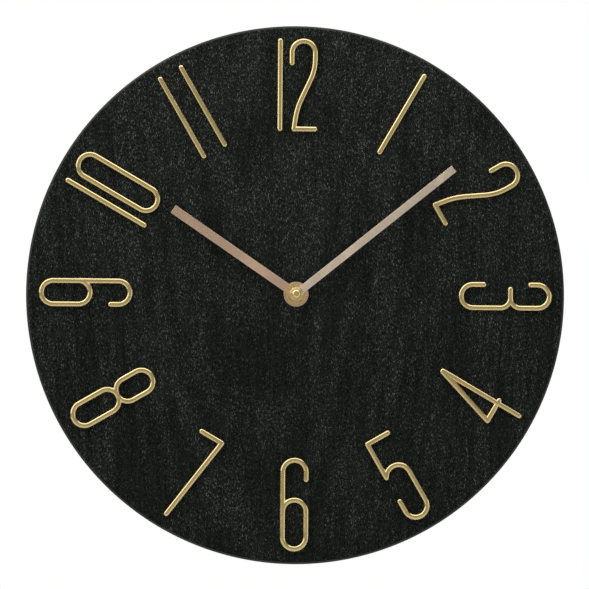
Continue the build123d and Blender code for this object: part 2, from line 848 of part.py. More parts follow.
def make_crystal():
    """A small metal can lying along Y on the circuit board."""
    at = (circuit_centre[0], circuit_centre[1] - circuit_length / 4, circuit_front + crystal_radius)
    body = Pos(*at) * Rot(90, 0, 0) * Cylinder(crystal_radius, crystal_length)
    return fillet(body.edges(), crystal_radius / 4)


nodes["chip"] = make_chip()
nodes["quartz_crystal"] = make_crystal()


# ---------------------------------------------------------------- battery and contacts
battery_low_x = negative_room - bay_length / 2
battery_high_x = battery_low_x + battery_body_length
contact_half_width = contact_width / 2


def lengthwise(radius, low, high):
    """A round bar along X on the battery's axis."""
    along = Plane(origin=(low, battery_y, battery_z), x_dir=(0, 1, 0), z_dir=(1, 0, 0))
    return along * extrude(Circle(radius), high - low)


def make_battery():
    body = lengthwise(battery_radius, battery_low_x, battery_high_x)
    body = fillet(body.edges(), battery_gap)
    return body + lengthwise(battery_nub_radius, battery_high_x,
                             battery_high_x + battery_nub_length)


def make_positive_contact():
    """A flat strip on the end wall with a round boss that meets the battery's nub."""
    low = (bay_length / 2 - contact_thickness, battery_y - contact_half_width)
    high = (bay_length / 2, battery_y + contact_half_width)
    body = block(low, high, cover_thickness, case_inner_front)
    return body + lengthwise(battery_nub_radius / 2, battery_high_x + battery_nub_length, low[0])


def make_negative_contact():
    """A strip on the end wall with a bowed leaf that presses on the battery's base."""
    wall = -bay_length / 2
    reach = battery_low_x - wall
    half_leaf = spring_leaf_height / 2
    strip = block((wall, battery_y - contact_half_width),
                  (wall + contact_thickness, battery_y + contact_half_width),
                  cover_thickness, case_inner_front)
    bow = ThreePointArc((wall + contact_thickness, -half_leaf), (battery_low_x, 0),
                        (wall + contact_thickness, half_leaf))
    inner = ThreePointArc((wall, -half_leaf), (battery_low_x - contact_thickness, 0),
                          (wall, half_leaf))
    leaf = make_face([bow, inner, Line(bow @ 0, inner @ 0), Line(bow @ 1, inner @ 1)])
    across = Plane(origin=(0, battery_y - contact_half_width, battery_z), x_dir=(1, 0, 0),
                   z_dir=(0, 1, 0))
    return strip + across * extrude(leaf, 2 * contact_half_width)


nodes["battery"] = make_battery()
nodes["battery_contact_positive"] = make_positive_contact()
nodes["battery_contact_negative"] = make_negative_contact()


# ---------------------------------------------------------------- hanger plate and wall pads
def keyhole_outline():
    """A round hole with a slot running up from it."""
    round_y = hanger_y - keyhole_drop
    slot_length = keyhole_travel + keyhole_slot_width
    slot = SlotOverall(slot_length, keyhole_slot_width, rotation=90)
    return Pos(0, round_y) * Circle(keyhole_radius) + Pos(0, round_y + keyhole_travel / 2) * slot


def countersink(y):
    """The cone under a screw's head, its wide end flush with the plate's back."""
    middle = board_back + hanger_thickness / 2
    return Pos(0, y, middle) * Cone(screw_head_radius, screw_radius, hanger_thickness)


def make_hanger_plate():
    outline = Pos(0, hanger_y) * RectangleRounded(hanger_width, hanger_length, hanger_corner)
    outline -= keyhole_outline()
    body = slab(outline, board_back, hanger_front)
    for y in hanger_screw_ys:
        body -= countersink(y)
    return body


def make_screws():
    pieces = []
    for y in hanger_screw_ys:
        shank = disc(screw_radius, hanger_front, board_back + screw_length, (0, y))
        body = countersink(y) + shank
        for turn in (0, 90):
            cross = Rectangle(2 * screw_radius + screw_cross, screw_cross)
            cross = Pos(0, y) * Rot(0, 0, turn) * cross
            body -= slab(cross, board_back, board_back + screw_cross)
        pieces.extend(body.solids())
    return Compound(pieces)


def make_wall_pads():
    pieces = []
    for bearing in (45, 135, 225, 315):
        at = polar(board_radius - pad_edge_margin, bearing)
        body = disc(pad_radius, 0, board_back, at)
        pieces.append(fillet(body.edges().group_by(Axis.Z)[0], min(pad_round, board_back / 2)))
    return Compound([solid for piece in pieces for solid in piece.solids()])


nodes["hanger_plate"] = make_hanger_plate()
nodes["hanger_screws"] = make_screws()
nodes["wall_pads"] = make_wall_pads()

# ---------------------------------------------------------------- write each node
os.makedirs("parts", exist_ok=True)
for name, shape in nodes.items():
    export_step(Rot(90, 0, 0) * shape, f"parts/{name}.step")
print(len(nodes), "nodes written")
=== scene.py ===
"""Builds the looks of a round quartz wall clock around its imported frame.

Pieces are drawn face up in millimetres, as the clock lies on a bench: X to the right of the
dial, Y towards 12 and Z from the wall to the viewer. Each is stood upright, in metres, as it
is finished, so the clock faces -Y with 12 at +Z.
"""

import math

import bmesh
import bpy
from bpy.props import FloatProperty, FloatVectorProperty, IntProperty, PointerProperty
from mathutils import Matrix, Vector, noise


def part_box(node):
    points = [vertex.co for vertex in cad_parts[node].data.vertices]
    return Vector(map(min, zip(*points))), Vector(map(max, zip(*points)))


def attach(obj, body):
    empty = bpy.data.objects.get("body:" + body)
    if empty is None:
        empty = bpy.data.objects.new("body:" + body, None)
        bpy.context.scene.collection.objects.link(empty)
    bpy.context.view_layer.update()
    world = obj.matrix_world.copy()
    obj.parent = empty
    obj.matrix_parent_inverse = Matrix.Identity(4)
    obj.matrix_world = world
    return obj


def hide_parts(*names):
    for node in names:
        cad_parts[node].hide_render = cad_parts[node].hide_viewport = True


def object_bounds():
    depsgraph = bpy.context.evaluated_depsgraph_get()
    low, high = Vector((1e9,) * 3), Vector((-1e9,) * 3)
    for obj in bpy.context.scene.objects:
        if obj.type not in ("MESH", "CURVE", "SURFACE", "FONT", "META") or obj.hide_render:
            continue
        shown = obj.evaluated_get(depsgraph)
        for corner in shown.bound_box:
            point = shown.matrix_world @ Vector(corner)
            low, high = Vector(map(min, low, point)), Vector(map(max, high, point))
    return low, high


bl_info = {
    "name": "Wall Clock Maker",
    "version": (1, 0, 0),
    "blender": (4, 5, 0),
    "location": "3D View > Sidebar > Wall Clock",
    "description": "Makes a wood-grain wall clock with plated bar numerals around its frame",
    "category": "Add Mesh",
}

MM = 0.001
UPRIGHT = Matrix(((MM, 0, 0, 0), (0, 0, -MM, 0), (0, MM, 0, 0), (0, 0, 0, 1)))
SHARP_ANGLE = 32.0     # degrees between two faces that shade apart
CUT_SPARE = 1.0        # how far a cutter runs past the face that it cuts, in millimetres
SAME_LEVEL = 1e-5      # two depths this near, in millimetres, are the same

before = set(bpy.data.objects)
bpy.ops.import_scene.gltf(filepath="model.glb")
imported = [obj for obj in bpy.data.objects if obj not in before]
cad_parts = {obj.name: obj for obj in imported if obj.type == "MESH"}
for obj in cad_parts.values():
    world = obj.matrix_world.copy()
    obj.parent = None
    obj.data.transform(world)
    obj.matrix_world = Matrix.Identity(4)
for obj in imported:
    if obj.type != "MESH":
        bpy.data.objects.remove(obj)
cad_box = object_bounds()


# ------------------------------------------------------------------ places from the frame
def depths(node):
    """How far a frame node's back and front are from the wall, in millimetres."""
    low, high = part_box(node)
    return -high.y / MM, -low.y / MM


def across_and_up(node):
    """The middle of a frame node on the dial, in millimetres."""
    low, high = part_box(node)
    return Vector(((low.x + high.x) / 2 / MM, (low.z + high.z) / 2 / MM))


def width_and_height(node):
    low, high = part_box(node)
    return (high.x - low.x) / MM, (high.z - low.z) / MM


# ------------------------------------------------------------------ settings
class DialSettings(bpy.types.PropertyGroup):
    """The board and its embossed film."""

    front_round: FloatProperty(
        name="Front round", description="Radius of the board's front edge",
        default=1.2 * MM, unit="LENGTH")
    back_round: FloatProperty(
        name="Back round", description="Radius of the board's back edge",
        default=0.6 * MM, unit="LENGTH")
    relief: FloatProperty(
        name="Grain relief", description="Depth of the embossed figure of the film",
        default=0.07 * MM, unit="LENGTH")
    film_colour: FloatVectorProperty(
        name="Film colour", description="Colour of the film's smooth streaks",
        default=(0.0020, 0.0027, 0.0021), size=3, subtype="COLOR", min=0, max=1)
    # Painted highlight: the fine ticks are coloured lighter than the film to stand in for the
    # glints of light on their relief.
    tick_glint_colour: FloatVectorProperty(
        name="Tick colour", description="Colour of the fine ticks that catch the light",
        default=(0.036, 0.040, 0.036), size=3, subtype="COLOR", min=0, max=1)
    board_colour: FloatVectorProperty(
        name="Board colour", description="Colour of the painted edge and back",
        default=(0.012, 0.012, 0.0115), size=3, subtype="COLOR", min=0, max=1)


class NumeralSettings(bpy.types.PropertyGroup):
    """The plated bar numerals."""

    height: FloatProperty(
        name="Height", description="Height of a numeral over its bars",
        default=52.5 * MM, unit="LENGTH")
    width: FloatProperty(
        name="Width", description="Width of a looped numeral over its bars",
        default=16.3 * MM, unit="LENGTH")
    bar: FloatProperty(
        name="Bar width", description="Width of each bar",
        default=3.3 * MM, unit="LENGTH")
    relief: FloatProperty(
        name="Relief", description="How far the bars stand off the film",
        default=2.2 * MM, unit="LENGTH")
    edge_margin: FloatProperty(
        name="Edge margin", description="From the board's rim to the numerals",
        default=6.9 * MM, unit="LENGTH")
    colour: FloatVectorProperty(
        name="Plating", description="Colour of the pale gold plating",
        default=(0.74, 0.60, 0.28), size=3, subtype="COLOR", min=0, max=1)


class HandSettings(bpy.types.PropertyGroup):
    """The two hands and their nut."""

    hour_length: FloatProperty(
        name="Hour hand", description="From the axis to the hour hand's tip",
        default=83.1 * MM, unit="LENGTH")
    hour_width: FloatProperty(
        name="Hour hand width", description="Width of the hour hand's blade",
        default=5.0 * MM, unit="LENGTH")
    minute_length: FloatProperty(
        name="Minute hand", description="From the axis to the minute hand's tip",
        default=112.4 * MM, unit="LENGTH")
    minute_width: FloatProperty(
        name="Minute hand width", description="Width of the minute hand's blade",
        default=4.25 * MM, unit="LENGTH")
    shown_hour: IntProperty(
        name="Hour", description="The hour that the hands show", default=10, min=0, max=11)
    shown_minute: FloatProperty(
        name="Minute", description="The minute that the hands show",
        default=8.5, min=0, max=60)
    # Painted shade: the hour hand is the same sheet as the minute hand, given a darker, pinker
    # colour for the light that its angle catches less of.
    hour_shaded_colour: FloatVectorProperty(
        name="Hour hand colour", description="Colour of the hour hand's satin rose-gold sheet",
        default=(0.78, 0.56, 0.385), size=3, subtype="COLOR", min=0, max=1)
    minute_colour: FloatVectorProperty(
        name="Minute hand colour",
        description="Colour of the minute hand's paler satin rose-gold sheet",
        default=(0.91, 0.77, 0.58), size=3, subtype="COLOR", min=0, max=1)
    hub_colour: FloatVectorProperty(
        name="Hub colour", description="Colour of the minute hand's turned brass hub",
        default=(0.80, 0.60, 0.31), size=3, subtype="COLOR", min=0, max=1)
    nut_colour: FloatVectorProperty(
        name="Nut colour", description="Colour of the turned brass hand nut",
        default=(0.84, 0.64, 0.33), size=3, subtype="COLOR", min=0, max=1)


class MovementSettings(bpy.types.PropertyGroup):
    """The battery movement and what hangs the clock."""

    edge_round: FloatProperty(
        name="Moulded edges", description="Radius on the edges of moulded pieces",
        default=0.25 * MM, unit="LENGTH")
    wrap_colour: FloatVectorProperty(
        name="Cell jacket", description="Colour of the longer part of the cell's jacket",
        default=(0.020, 0.026, 0.034), size=3, subtype="COLOR", min=0, max=1)
    band_colour: FloatVectorProperty(
        name="Cell band", description="Colour of the band at the cell's positive end",
        default=(0.62, 0.33, 0.14), size=3, subtype="COLOR", min=0, max=1)


class StageSettings(bpy.types.PropertyGroup):
    """The camera, the floor and the lights."""

    camera_distance: FloatProperty(
        name="Camera distance", description="From the camera to the dial",
        default=2.4, unit="LENGTH")
    camera_left: FloatProperty(
        name="Camera to the left", description="How far the camera stands round to the left",
        default=math.radians(2.4), unit="ROTATION")
    camera_below: FloatProperty(
        name="Camera below", description="How far the camera stands under the dial's middle",
        default=math.radians(2.2), unit="ROTATION")
    camera_roll: FloatProperty(
        name="Camera roll", description="Turn of the camera about its own axis",
        default=math.radians(0.45), unit="ROTATION")
    framed_width: FloatProperty(
        name="Framed width", description="Width that the camera sees at the dial",
        default=0.3279, unit="LENGTH")
    aim_right: FloatProperty(
        name="Aim right", description="How far right of the hands' axis the camera aims",
        default=-0.74 * MM, unit="LENGTH")
    aim_up: FloatProperty(
        name="Aim up", description="How far over the hands' axis the camera aims",
        default=-0.02 * MM, unit="LENGTH")
    floor_drop: FloatProperty(
        name="Floor drop", description="From the clock's lowest point to the floor",
        default=0.12, unit="LENGTH")


SETTINGS = {
    "clock_dial": DialSettings,
    "clock_numerals": NumeralSettings,
    "clock_hands": HandSettings,
    "clock_movement": MovementSettings,
    "clock_stage": StageSettings,
}


# ------------------------------------------------------------------ mesh helpers
def fresh_object(name, data):
    made = bpy.data.objects.new(name, data)
    bpy.context.scene.collection.objects.link(made)
    return made


def mesh_of(shape, name="scratch"):
    """Turns a bmesh into a mesh with its faces all looking outwards."""
    bmesh.ops.recalc_face_normals(shape, faces=shape.faces)
    mesh = bpy.data.meshes.new(name)
    shape.to_mesh(mesh)
    shape.free()
    return mesh


def combined(base, tool, operation):
    """The mesh that is left when one mesh cuts another, or is joined to it."""
    first = fresh_object("scratch_base", base)
    second = fresh_object("scratch_tool", tool)
    modifier = first.modifiers.new("combine", "BOOLEAN")
    modifier.object = second
    modifier.operation = operation
    modifier.solver = "EXACT"
    bpy.context.view_layer.update()
    evaluated = first.evaluated_get(bpy.context.evaluated_depsgraph_get())
    result = bpy.data.meshes.new_from_object(evaluated)
    for scratch in (first, second):
        mesh = scratch.data
        bpy.data.objects.remove(scratch)
        bpy.data.meshes.remove(mesh)
    return result


def cut_from(base, *tools):
    for tool in tools:
        base = combined(base, tool, "DIFFERENCE")
    return base


def joined(base, *tools):
    for tool in tools:
        base = combined(base, tool, "UNION")
    return base


def shells(*meshes):
    """Separate solids kept together in one mesh."""
    shape = bmesh.new()
    for mesh in meshes:
        shape.from_mesh(mesh)
        bpy.data.meshes.remove(mesh)
    result = bpy.data.meshes.new("scratch")
    shape.to_mesh(result)
    shape.free()
    return result


def moved(mesh, matrix):
    mesh.transform(matrix)
    return mesh


def piece(name, mesh, body, slot, material, *nodes):
    """Stands a finished mesh upright as a piece of the clock, in place of its frame nodes."""
    mesh.transform(UPRIGHT)
    mesh.name = name
    made = fresh_object(name, mesh)
    mesh.materials.clear()
    mesh.materials.append(material)
    mesh.polygons.foreach_set("use_smooth", [True] * len(mesh.polygons))
    mesh.set_sharp_from_angle(angle=math.radians(SHARP_ANGLE))
    made.modifiers.new("flat_faces_stay_flat", "WEIGHTED_NORMAL").keep_sharp = True
    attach(made, body)
    if nodes:
        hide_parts(*nodes)
    return made


def surface(node, material):
    """Gives a frame node that keeps its shape a finer material."""
    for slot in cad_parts[node].material_slots:
        slot.material = material


def circle_points(radius, count, at=(0, 0)):
    turns = (2 * math.pi * step / count for step in range(count))
    return [(at[0] + radius * math.cos(turn), at[1] + radius * math.sin(turn)) for turn in turns]


def rounded_corners(corners, steps=5, closed=True):
    """A path of (x, y, radius) corners, each rounded by its own radius."""
    points = []
    for index, (x, y, radius) in enumerate(corners):
        here = Vector((x, y))
        is_end = not closed and index in (0, len(corners) - 1)
        if radius == 0 or is_end:
            points.append(here)
            continue
        before = (Vector(corners[index - 1][:2]) - here).normalized()
        after = (Vector(corners[(index + 1) % len(corners)][:2]) - here).normalized()
        half = before.angle(after) / 2
        centre = here + (before + after).normalized() * (radius / math.sin(half))
        start = here + before * (radius / math.tan(half)) - centre
        turn = math.pi - 2 * half
        if before.x * after.y - before.y * after.x > 0:
            turn = -turn
        for step in range(steps + 1):
            points.append(centre + Matrix.Rotation(turn * step / steps, 2) @ start)
    return points


def add_face(shape, *corners):
    """A face of four corners, or of three where two are the same, or none below that."""
    corners = list(dict.fromkeys(corners))
    if len(corners) > 2:
        shape.faces.new(corners)


def lathe(profile, segments, closed=False):
    """Turns (radius, depth) points about the dial's axis. A closed profile makes a ring."""
    shape = bmesh.new()
    rings = []
    for radius, depth in profile:
        if radius < SAME_LEVEL:
            rings.append([shape.verts.new((0, 0, depth))])
            continue
        rings.append([shape.verts.new((x, y, depth)) for x, y in circle_points(radius, segments)])
    for low, high in zip(rings, rings[1:] + (rings[:1] if closed else [])):
        for step in range(segments):
            following = (step + 1) % segments
            add_face(shape, low[step % len(low)], low[following % len(low)],
                     high[following % len(high)], high[step % len(high)])
    return mesh_of(shape)


def turned(corners, segments, closed=False, steps=5):
    """A lathe-turned solid from (radius, depth, corner radius) points."""
    return lathe([tuple(point) for point in rounded_corners(corners, steps, closed)],
                 segments, closed)


def rounded_edges(shape, edges, width, steps):
    bmesh.ops.bevel(shape, geom=edges, offset=width, segments=steps, profile=0.5,
                    affect="EDGES", clamp_overlap=True)


def plate(outline, back, front, front_round=0.0, back_round=0.0):
    """A flat outline given depth, its edges rounded."""
    shape = bmesh.new()
    floor = shape.faces.new([shape.verts.new((x, y, back)) for x, y in outline])
    grown = bmesh.ops.extrude_face_region(shape, geom=[floor])["geom"]
    lifted = [item for item in grown if isinstance(item, bmesh.types.BMVert)]
    bmesh.ops.translate(shape, verts=lifted, vec=(0, 0, front - back))
    shape.verts.ensure_lookup_table()
    for level, width in ((front, front_round), (back, back_round)):
        if width > 0:
            edges = [edge for edge in shape.edges
                     if all(abs(vert.co.z - level) < SAME_LEVEL for vert in edge.verts)]
            rounded_edges(shape, edges, width, 3)
    return mesh_of(shape)


def rectangle(width, height, corner, at=(0, 0)):
    """The outline of a rectangle with rounded corners."""
    x, y = at
    corners = [(x + sx * width / 2, y + sy * height / 2, corner)
               for sx, sy in ((1, -1), (1, 1), (-1, 1), (-1, -1))]
    return [tuple(point) for point in rounded_corners(corners)]


MERGE_GAP = 1e-4           # millimetres between points that are one
FLAT_ANGLE = 1.0           # degrees between faces that are one flat face
CORNER_ANGLE = 40.0        # degrees between faces whose edge gets rounded


def softened(node, width):
    """A copy of a frame node, in bench millimetres, with its sharp edges rounded."""
    shape = bmesh.new()
    shape.from_mesh(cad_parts[node].data)
    shape.transform(UPRIGHT.inverted())
    bmesh.ops.remove_doubles(shape, verts=shape.verts, dist=MERGE_GAP)
    bmesh.ops.dissolve_limit(shape, angle_limit=math.radians(FLAT_ANGLE),
                             verts=shape.verts, edges=shape.edges)
    sharp = [edge for edge in shape.edges
             if edge.is_manifold and edge.calc_face_angle() > math.radians(CORNER_ANGLE)]
    rounded_edges(shape, sharp, width, 2)
    return mesh_of(shape)


# ------------------------------------------------------------------ node helpers
class Wiring:
    """Adds the nodes of one shader tree and joins them."""

    def __init__(self, tree):
        self.tree = tree

    def feed(self, socket, value):
        if isinstance(value, bpy.types.NodeSocket):
            self.tree.links.new(value, socket)
        else:
            socket.default_value = value

    def node(self, kind, inputs=None, **choices):
        made = self.tree.nodes.new(kind)
        for name, value in choices.items():
            setattr(made, name, value)
        for name, value in (inputs or {}).items():
            self.feed(made.inputs[name], value)
        return made

    def calculation(self, kind, operation, values):
        made = self.node(kind, operation=operation)
        for socket, value in zip(made.inputs, values):
            self.feed(socket, value)
        return made.outputs

    def math(self, operation, *values):
        return self.calculation("ShaderNodeMath", operation, values)[0]

    def vector_math(self, operation, *values):
        outputs = self.calculation("ShaderNodeVectorMath", operation, values)
        return outputs["Value" if operation == "DOT_PRODUCT" else "Vector"]

    def object_place(self):
        return self.node("ShaderNodeTexCoord").outputs["Object"]

    def object_axes(self):
        """The X, Y and Z of a place on the object."""
        return self.node("ShaderNodeSeparateXYZ", {"Vector": self.object_place()}).outputs

    def spun(self, vector, rotation):
        return self.node("ShaderNodeVectorRotate", {"Vector": vector, "Rotation": rotation},
                         rotation_type="EULER_XYZ").outputs[0]

    def stretched(self, vector, scale):
        return self.node("ShaderNodeMapping", {"Vector": vector, "Scale": scale}).outputs[0]

    def noise(self, vector, scale, detail=2.0, roughness=0.5):
        made = self.node("ShaderNodeTexNoise", {"Vector": vector, "Scale": scale,
                                                "Detail": detail, "Roughness": roughness})
        return made.outputs[0]

    def stretched_noise(self, vector, scale, detail=2.0, roughness=0.5):
        return self.noise(self.stretched(vector, scale), 1.0, detail, roughness)

    def pores(self, vector, scale):
        """Short separate flecks, each of its own brightness."""
        cells = self.node("ShaderNodeTexVoronoi", {"Vector": self.stretched(vector, scale),
                                                   "Scale": 1.0, "Randomness": 1.0})
        fleck = self.span(cells.outputs["Distance"], 0.42, 0.16)
        chance = self.node("ShaderNodeSeparateColor", {"Color": cells.outputs["Color"]})
        return self.math("MULTIPLY", fleck, self.span(chance.outputs["Red"], 0.45, 1.0))

    def span(self, value, low, high, to_low=0.0, to_high=1.0):
        """A value taken smoothly from one span to another."""
        made = self.node("ShaderNodeMapRange", {
            "Value": value, "From Min": low, "From Max": high,
            "To Min": to_low, "To Max": to_high}, interpolation_type="SMOOTHSTEP")
        return made.outputs["Result"]

    def mix(self, factor, first, second):
        made = self.node("ShaderNodeMix", data_type="RGBA")
        for index, value in ((0, factor), (6, first), (7, second)):
            self.feed(made.inputs[index], value)
        return made.outputs[2]

    def bump(self, height, distance, strength=1.0, normal=None):
        made = self.node("ShaderNodeBump", {"Height": height, "Distance": distance,
                                            "Strength": strength})
        if normal is not None:
            self.feed(made.inputs["Normal"], normal)
        return made.outputs["Normal"]

    def effect(self, name, **inputs):
        """Places a shared effect in this tree with its own values."""
        made = self.node("ShaderNodeGroup", node_tree=shared_effect(name))
        for label, value in inputs.items():
            self.feed(made.inputs[label.replace("_", " ")], value)
        return made.outputs

    def shaded(self, shade, colour, dark, light, low=0.3, high=0.7):
        """A colour made darker where the shade is low and lighter where it is high."""
        return self.mix(self.span(shade, low, high), tinted(colour, dark), tinted(colour, light))

    def rubbed(self, colour, bare, amount, radius):
        """A colour with its sharp edges rubbed to a bare one."""
        worn = self.effect("edge_wear", Radius=radius * MM, Amount=amount)["Mask"]
        return self.mix(worn, colour, bare)

    def dusty(self, colour, dust, amount):
        """A colour with dust on what faces up."""
        return self.mix(self.effect("settled_dust", Amount=amount)["Mask"], colour, dust)

    def handled(self, clean, smudged, scratched=0.0, **inputs):
        """Roughness that smudges change, and scratches where they count."""
        marks = self.effect("handling_marks", **inputs)
        rough = self.span(marks["Smudge"], 0.0, 1.0, clean, smudged)
        if scratched:
            rough = self.math("MULTIPLY_ADD", marks["Scratch"], scratched, rough)
        return rough


def effect_tree(name, inputs, outputs):
    """An empty shared effect, with the wiring of its inside, its inputs and its outputs."""
    tree = bpy.data.node_groups.new(name, "ShaderNodeTree")
    for label, default in inputs.items():
        kind = "NodeSocketVector" if isinstance(default, tuple) else "NodeSocketFloat"
        tree.interface.new_socket(label, in_out="INPUT", socket_type=kind).default_value = default
    for label in outputs:
        tree.interface.new_socket(label, in_out="OUTPUT", socket_type="NodeSocketFloat")
    wires = Wiring(tree)
    given = wires.node("NodeGroupInput").outputs
    handed = wires.node("NodeGroupOutput").inputs
    return tree, wires, given, handed


# ------------------------------------------------------------------ shared effects
def make_edge_wear():
    """Where sharp edges are rubbed, broken up by noise."""
    tree, wires, given, handed = effect_tree(
        "edge_wear", {"Radius": 0.4 * MM, "Amount": 1.0}, ["Mask"])
    bevel = wires.node("ShaderNodeBevel", {"Radius": given["Radius"]}, samples=4)
    flat = wires.node("ShaderNodeNewGeometry").outputs["Normal"]
    facing = wires.vector_math("DOT_PRODUCT", bevel.outputs["Normal"], flat)
    edge = wires.span(wires.math("SUBTRACT", 1.0, facing), 0.01, 0.2)
    broken = wires.span(wires.noise(wires.object_place(), 700.0, 3.0), 0.35, 0.7)
    worn = wires.math("MULTIPLY", edge, broken)
    wires.feed(handed["Mask"], wires.math("MULTIPLY", worn, given["Amount"]))
    return tree


def make_moulded_texture():
    """The fine pebbled skin of moulded plastic and rubber, and its slow change of shade."""
    tree, wires, given, handed = effect_tree(
        "moulded_texture", {"Grain": 2600.0}, ["Height", "Shade"])
    place = wires.object_place()
    pebble = wires.noise(place, given["Grain"], 2.0, 0.6)
    flow = wires.noise(place, 90.0, 3.0)
    wires.feed(handed["Height"], pebble)
    both = wires.math("MULTIPLY_ADD", pebble, 0.35, wires.math("MULTIPLY", flow, 0.65))
    wires.feed(handed["Shade"], both)
    return tree


def make_brushed_lines():
    """Fine lines drawn out along one direction."""
    tree, wires, given, handed = effect_tree("brushed_lines", {
        "Stretch": (4000.0, 4000.0, 150.0), "Turn": (0.0, 0.0, 0.0),
    }, ["Height", "Shade"])
    drawn = wires.vector_math("MULTIPLY", wires.spun(wires.object_place(), given["Turn"]),
                              given["Stretch"])
    line = wires.noise(drawn, 1.0, 3.0, 0.6)
    slow = wires.noise(drawn, 0.13, 2.0)
    wires.feed(handed["Height"], line)
    wires.feed(handed["Shade"], wires.math("MULTIPLY_ADD", line, 0.6,
                                           wires.math("MULTIPLY", slow, 0.4)))
    return tree


def make_handling_marks():
    """Smudges left by fingers, and a few hair scratches."""
    tree, wires, given, handed = effect_tree(
        "handling_marks", {"Smudge Scale": 45.0}, ["Smudge", "Scratch"])
    place = wires.object_place()
    smudge = wires.span(wires.noise(place, given["Smudge Scale"], 4.0, 0.6), 0.42, 0.66)
    drawn = wires.vector_math("MULTIPLY", wires.spun(place, (0.3, 0.4, 0.6)),
                              (3200.0, 3200.0, 60.0))
    scratch = wires.span(wires.noise(drawn, 1.0, 1.0), 0.72, 0.78)
    wires.feed(handed["Smudge"], smudge)
    wires.feed(handed["Scratch"], scratch)
    return tree


def make_settled_dust():
    """Dust on what faces up."""
    tree, wires, given, handed = effect_tree("settled_dust", {"Amount": 0.3}, ["Mask"])
    normal = wires.node("ShaderNodeNewGeometry").outputs["Normal"]
    upward = wires.span(wires.vector_math("DOT_PRODUCT", normal, (0, 0, 1)), 0.1, 0.95)
    specks = wires.span(wires.noise(wires.object_place(), 1500.0, 4.0, 0.7), 0.4, 0.7)
    lying = wires.math("MULTIPLY", upward, specks)
    wires.feed(handed["Mask"], wires.math("MULTIPLY", lying, given["Amount"]))
    return tree


EFFECT_MAKERS = {
    "edge_wear": make_edge_wear,
    "moulded_texture": make_moulded_texture,
    "brushed_lines": make_brushed_lines,
    "handling_marks": make_handling_marks,
    "settled_dust": make_settled_dust,
}


def shared_effect(name):
    """A shared effect, made the first time that it is asked for."""
    return bpy.data.node_groups.get(name) or EFFECT_MAKERS[name]()


# ------------------------------------------------------------------ materials
def tinted(colour, share):
    """A colour made lighter or darker, all of it or red, green and blue apart."""
    shares = share if isinstance(share, tuple) else (share,) * 3
    return (*[min(1.0, part * each) for part, each in zip(colour, shares)], 1.0)


def new_material(name, **values):
    """A material with its wiring and its shader, whose plain values are set on it."""
    material = bpy.data.materials.new(name)
    material.use_nodes = True
    shader = material.node_tree.nodes["Principled BSDF"]
    for label, value in values.items():
        shader.inputs[label.replace("_", " ")].default_value = value
    return material, Wiring(material.node_tree), shader.inputs


# Each plain finish: colour, lighter or darker share of it in the texture, roughness from and
# to, metallic, texture, relief of the texture, worn edge's colour and how much of it, dust.
PLAIN_FINISHES = {
    "black_plastic": dict(colour=(0.018, 0.018, 0.019), shades=(0.75, 1.35), rough=(0.42, 0.6),
                          texture="moulded_texture", relief=0.06, worn=(0.06, 0.06, 0.062),
                          wear=0.7, dust=0.25),
    "white_plastic": dict(colour=(0.74, 0.73, 0.68), shades=(0.9, 1.06), rough=(0.28, 0.42),
                          texture="moulded_texture", relief=0.01, worn=(0.85, 0.84, 0.8),
                          wear=0.3, dust=0.1),
    "black_rubber": dict(colour=(0.016, 0.016, 0.016), shades=(0.7, 1.5), rough=(0.66, 0.85),
                         texture="moulded_texture", relief=0.03, worn=(0.05, 0.05, 0.05),
                         wear=0.8, dust=0.35),
    "steel": dict(colour=(0.56, 0.56, 0.57), shades=(0.6, 1.16), rough=(0.24, 0.42),
                  metallic=1.0, texture="brushed_lines", relief=0.02,
                  worn=(0.72, 0.72, 0.73), wear=0.6, dust=0.06),
    "dark_steel": dict(colour=(0.17, 0.165, 0.16), shades=(0.75, 1.2), rough=(0.3, 0.45),
                       metallic=1.0, texture="brushed_lines", relief=0.004,
                       worn=(0.5, 0.49, 0.47), wear=0.8, dust=0.05),
    "brass": dict(colour=(0.74, 0.53, 0.25), shades=(0.8, 1.12), rough=(0.2, 0.36),
                  metallic=1.0, texture="brushed_lines", relief=0.004,
                  worn=(0.9, 0.72, 0.42), wear=0.6, dust=0.04),
    "magnet": dict(colour=(0.10, 0.10, 0.11), shades=(0.7, 1.3), rough=(0.4, 0.6),
                   metallic=0.8, texture="moulded_texture", relief=0.02,
                   worn=(0.3, 0.3, 0.31), wear=0.8, dust=0.05),
}


def plain_finish(name):
    """A finish from the table: shade and roughness from its texture, relief, wear and dust."""
    if name in bpy.data.materials:
        return bpy.data.materials[name]
    look = PLAIN_FINISHES[name]
    material, wires, shader = new_material(name, Metallic=look.get("metallic", 0.0))
    texture = wires.effect(look["texture"])
    colour = wires.shaded(texture["Shade"], look["colour"], *look["shades"])
    colour = wires.rubbed(colour, (*look["worn"], 1.0), look["wear"], 0.4)
    wires.feed(shader["Base Color"], wires.dusty(colour, (0.32, 0.31, 0.29, 1.0), look["dust"]))
    wires.feed(shader["Roughness"], wires.handled(*look["rough"], -0.12))
    wires.feed(shader["Normal"], wires.bump(texture["Height"], look["relief"] * MM, 0.6))
    return material


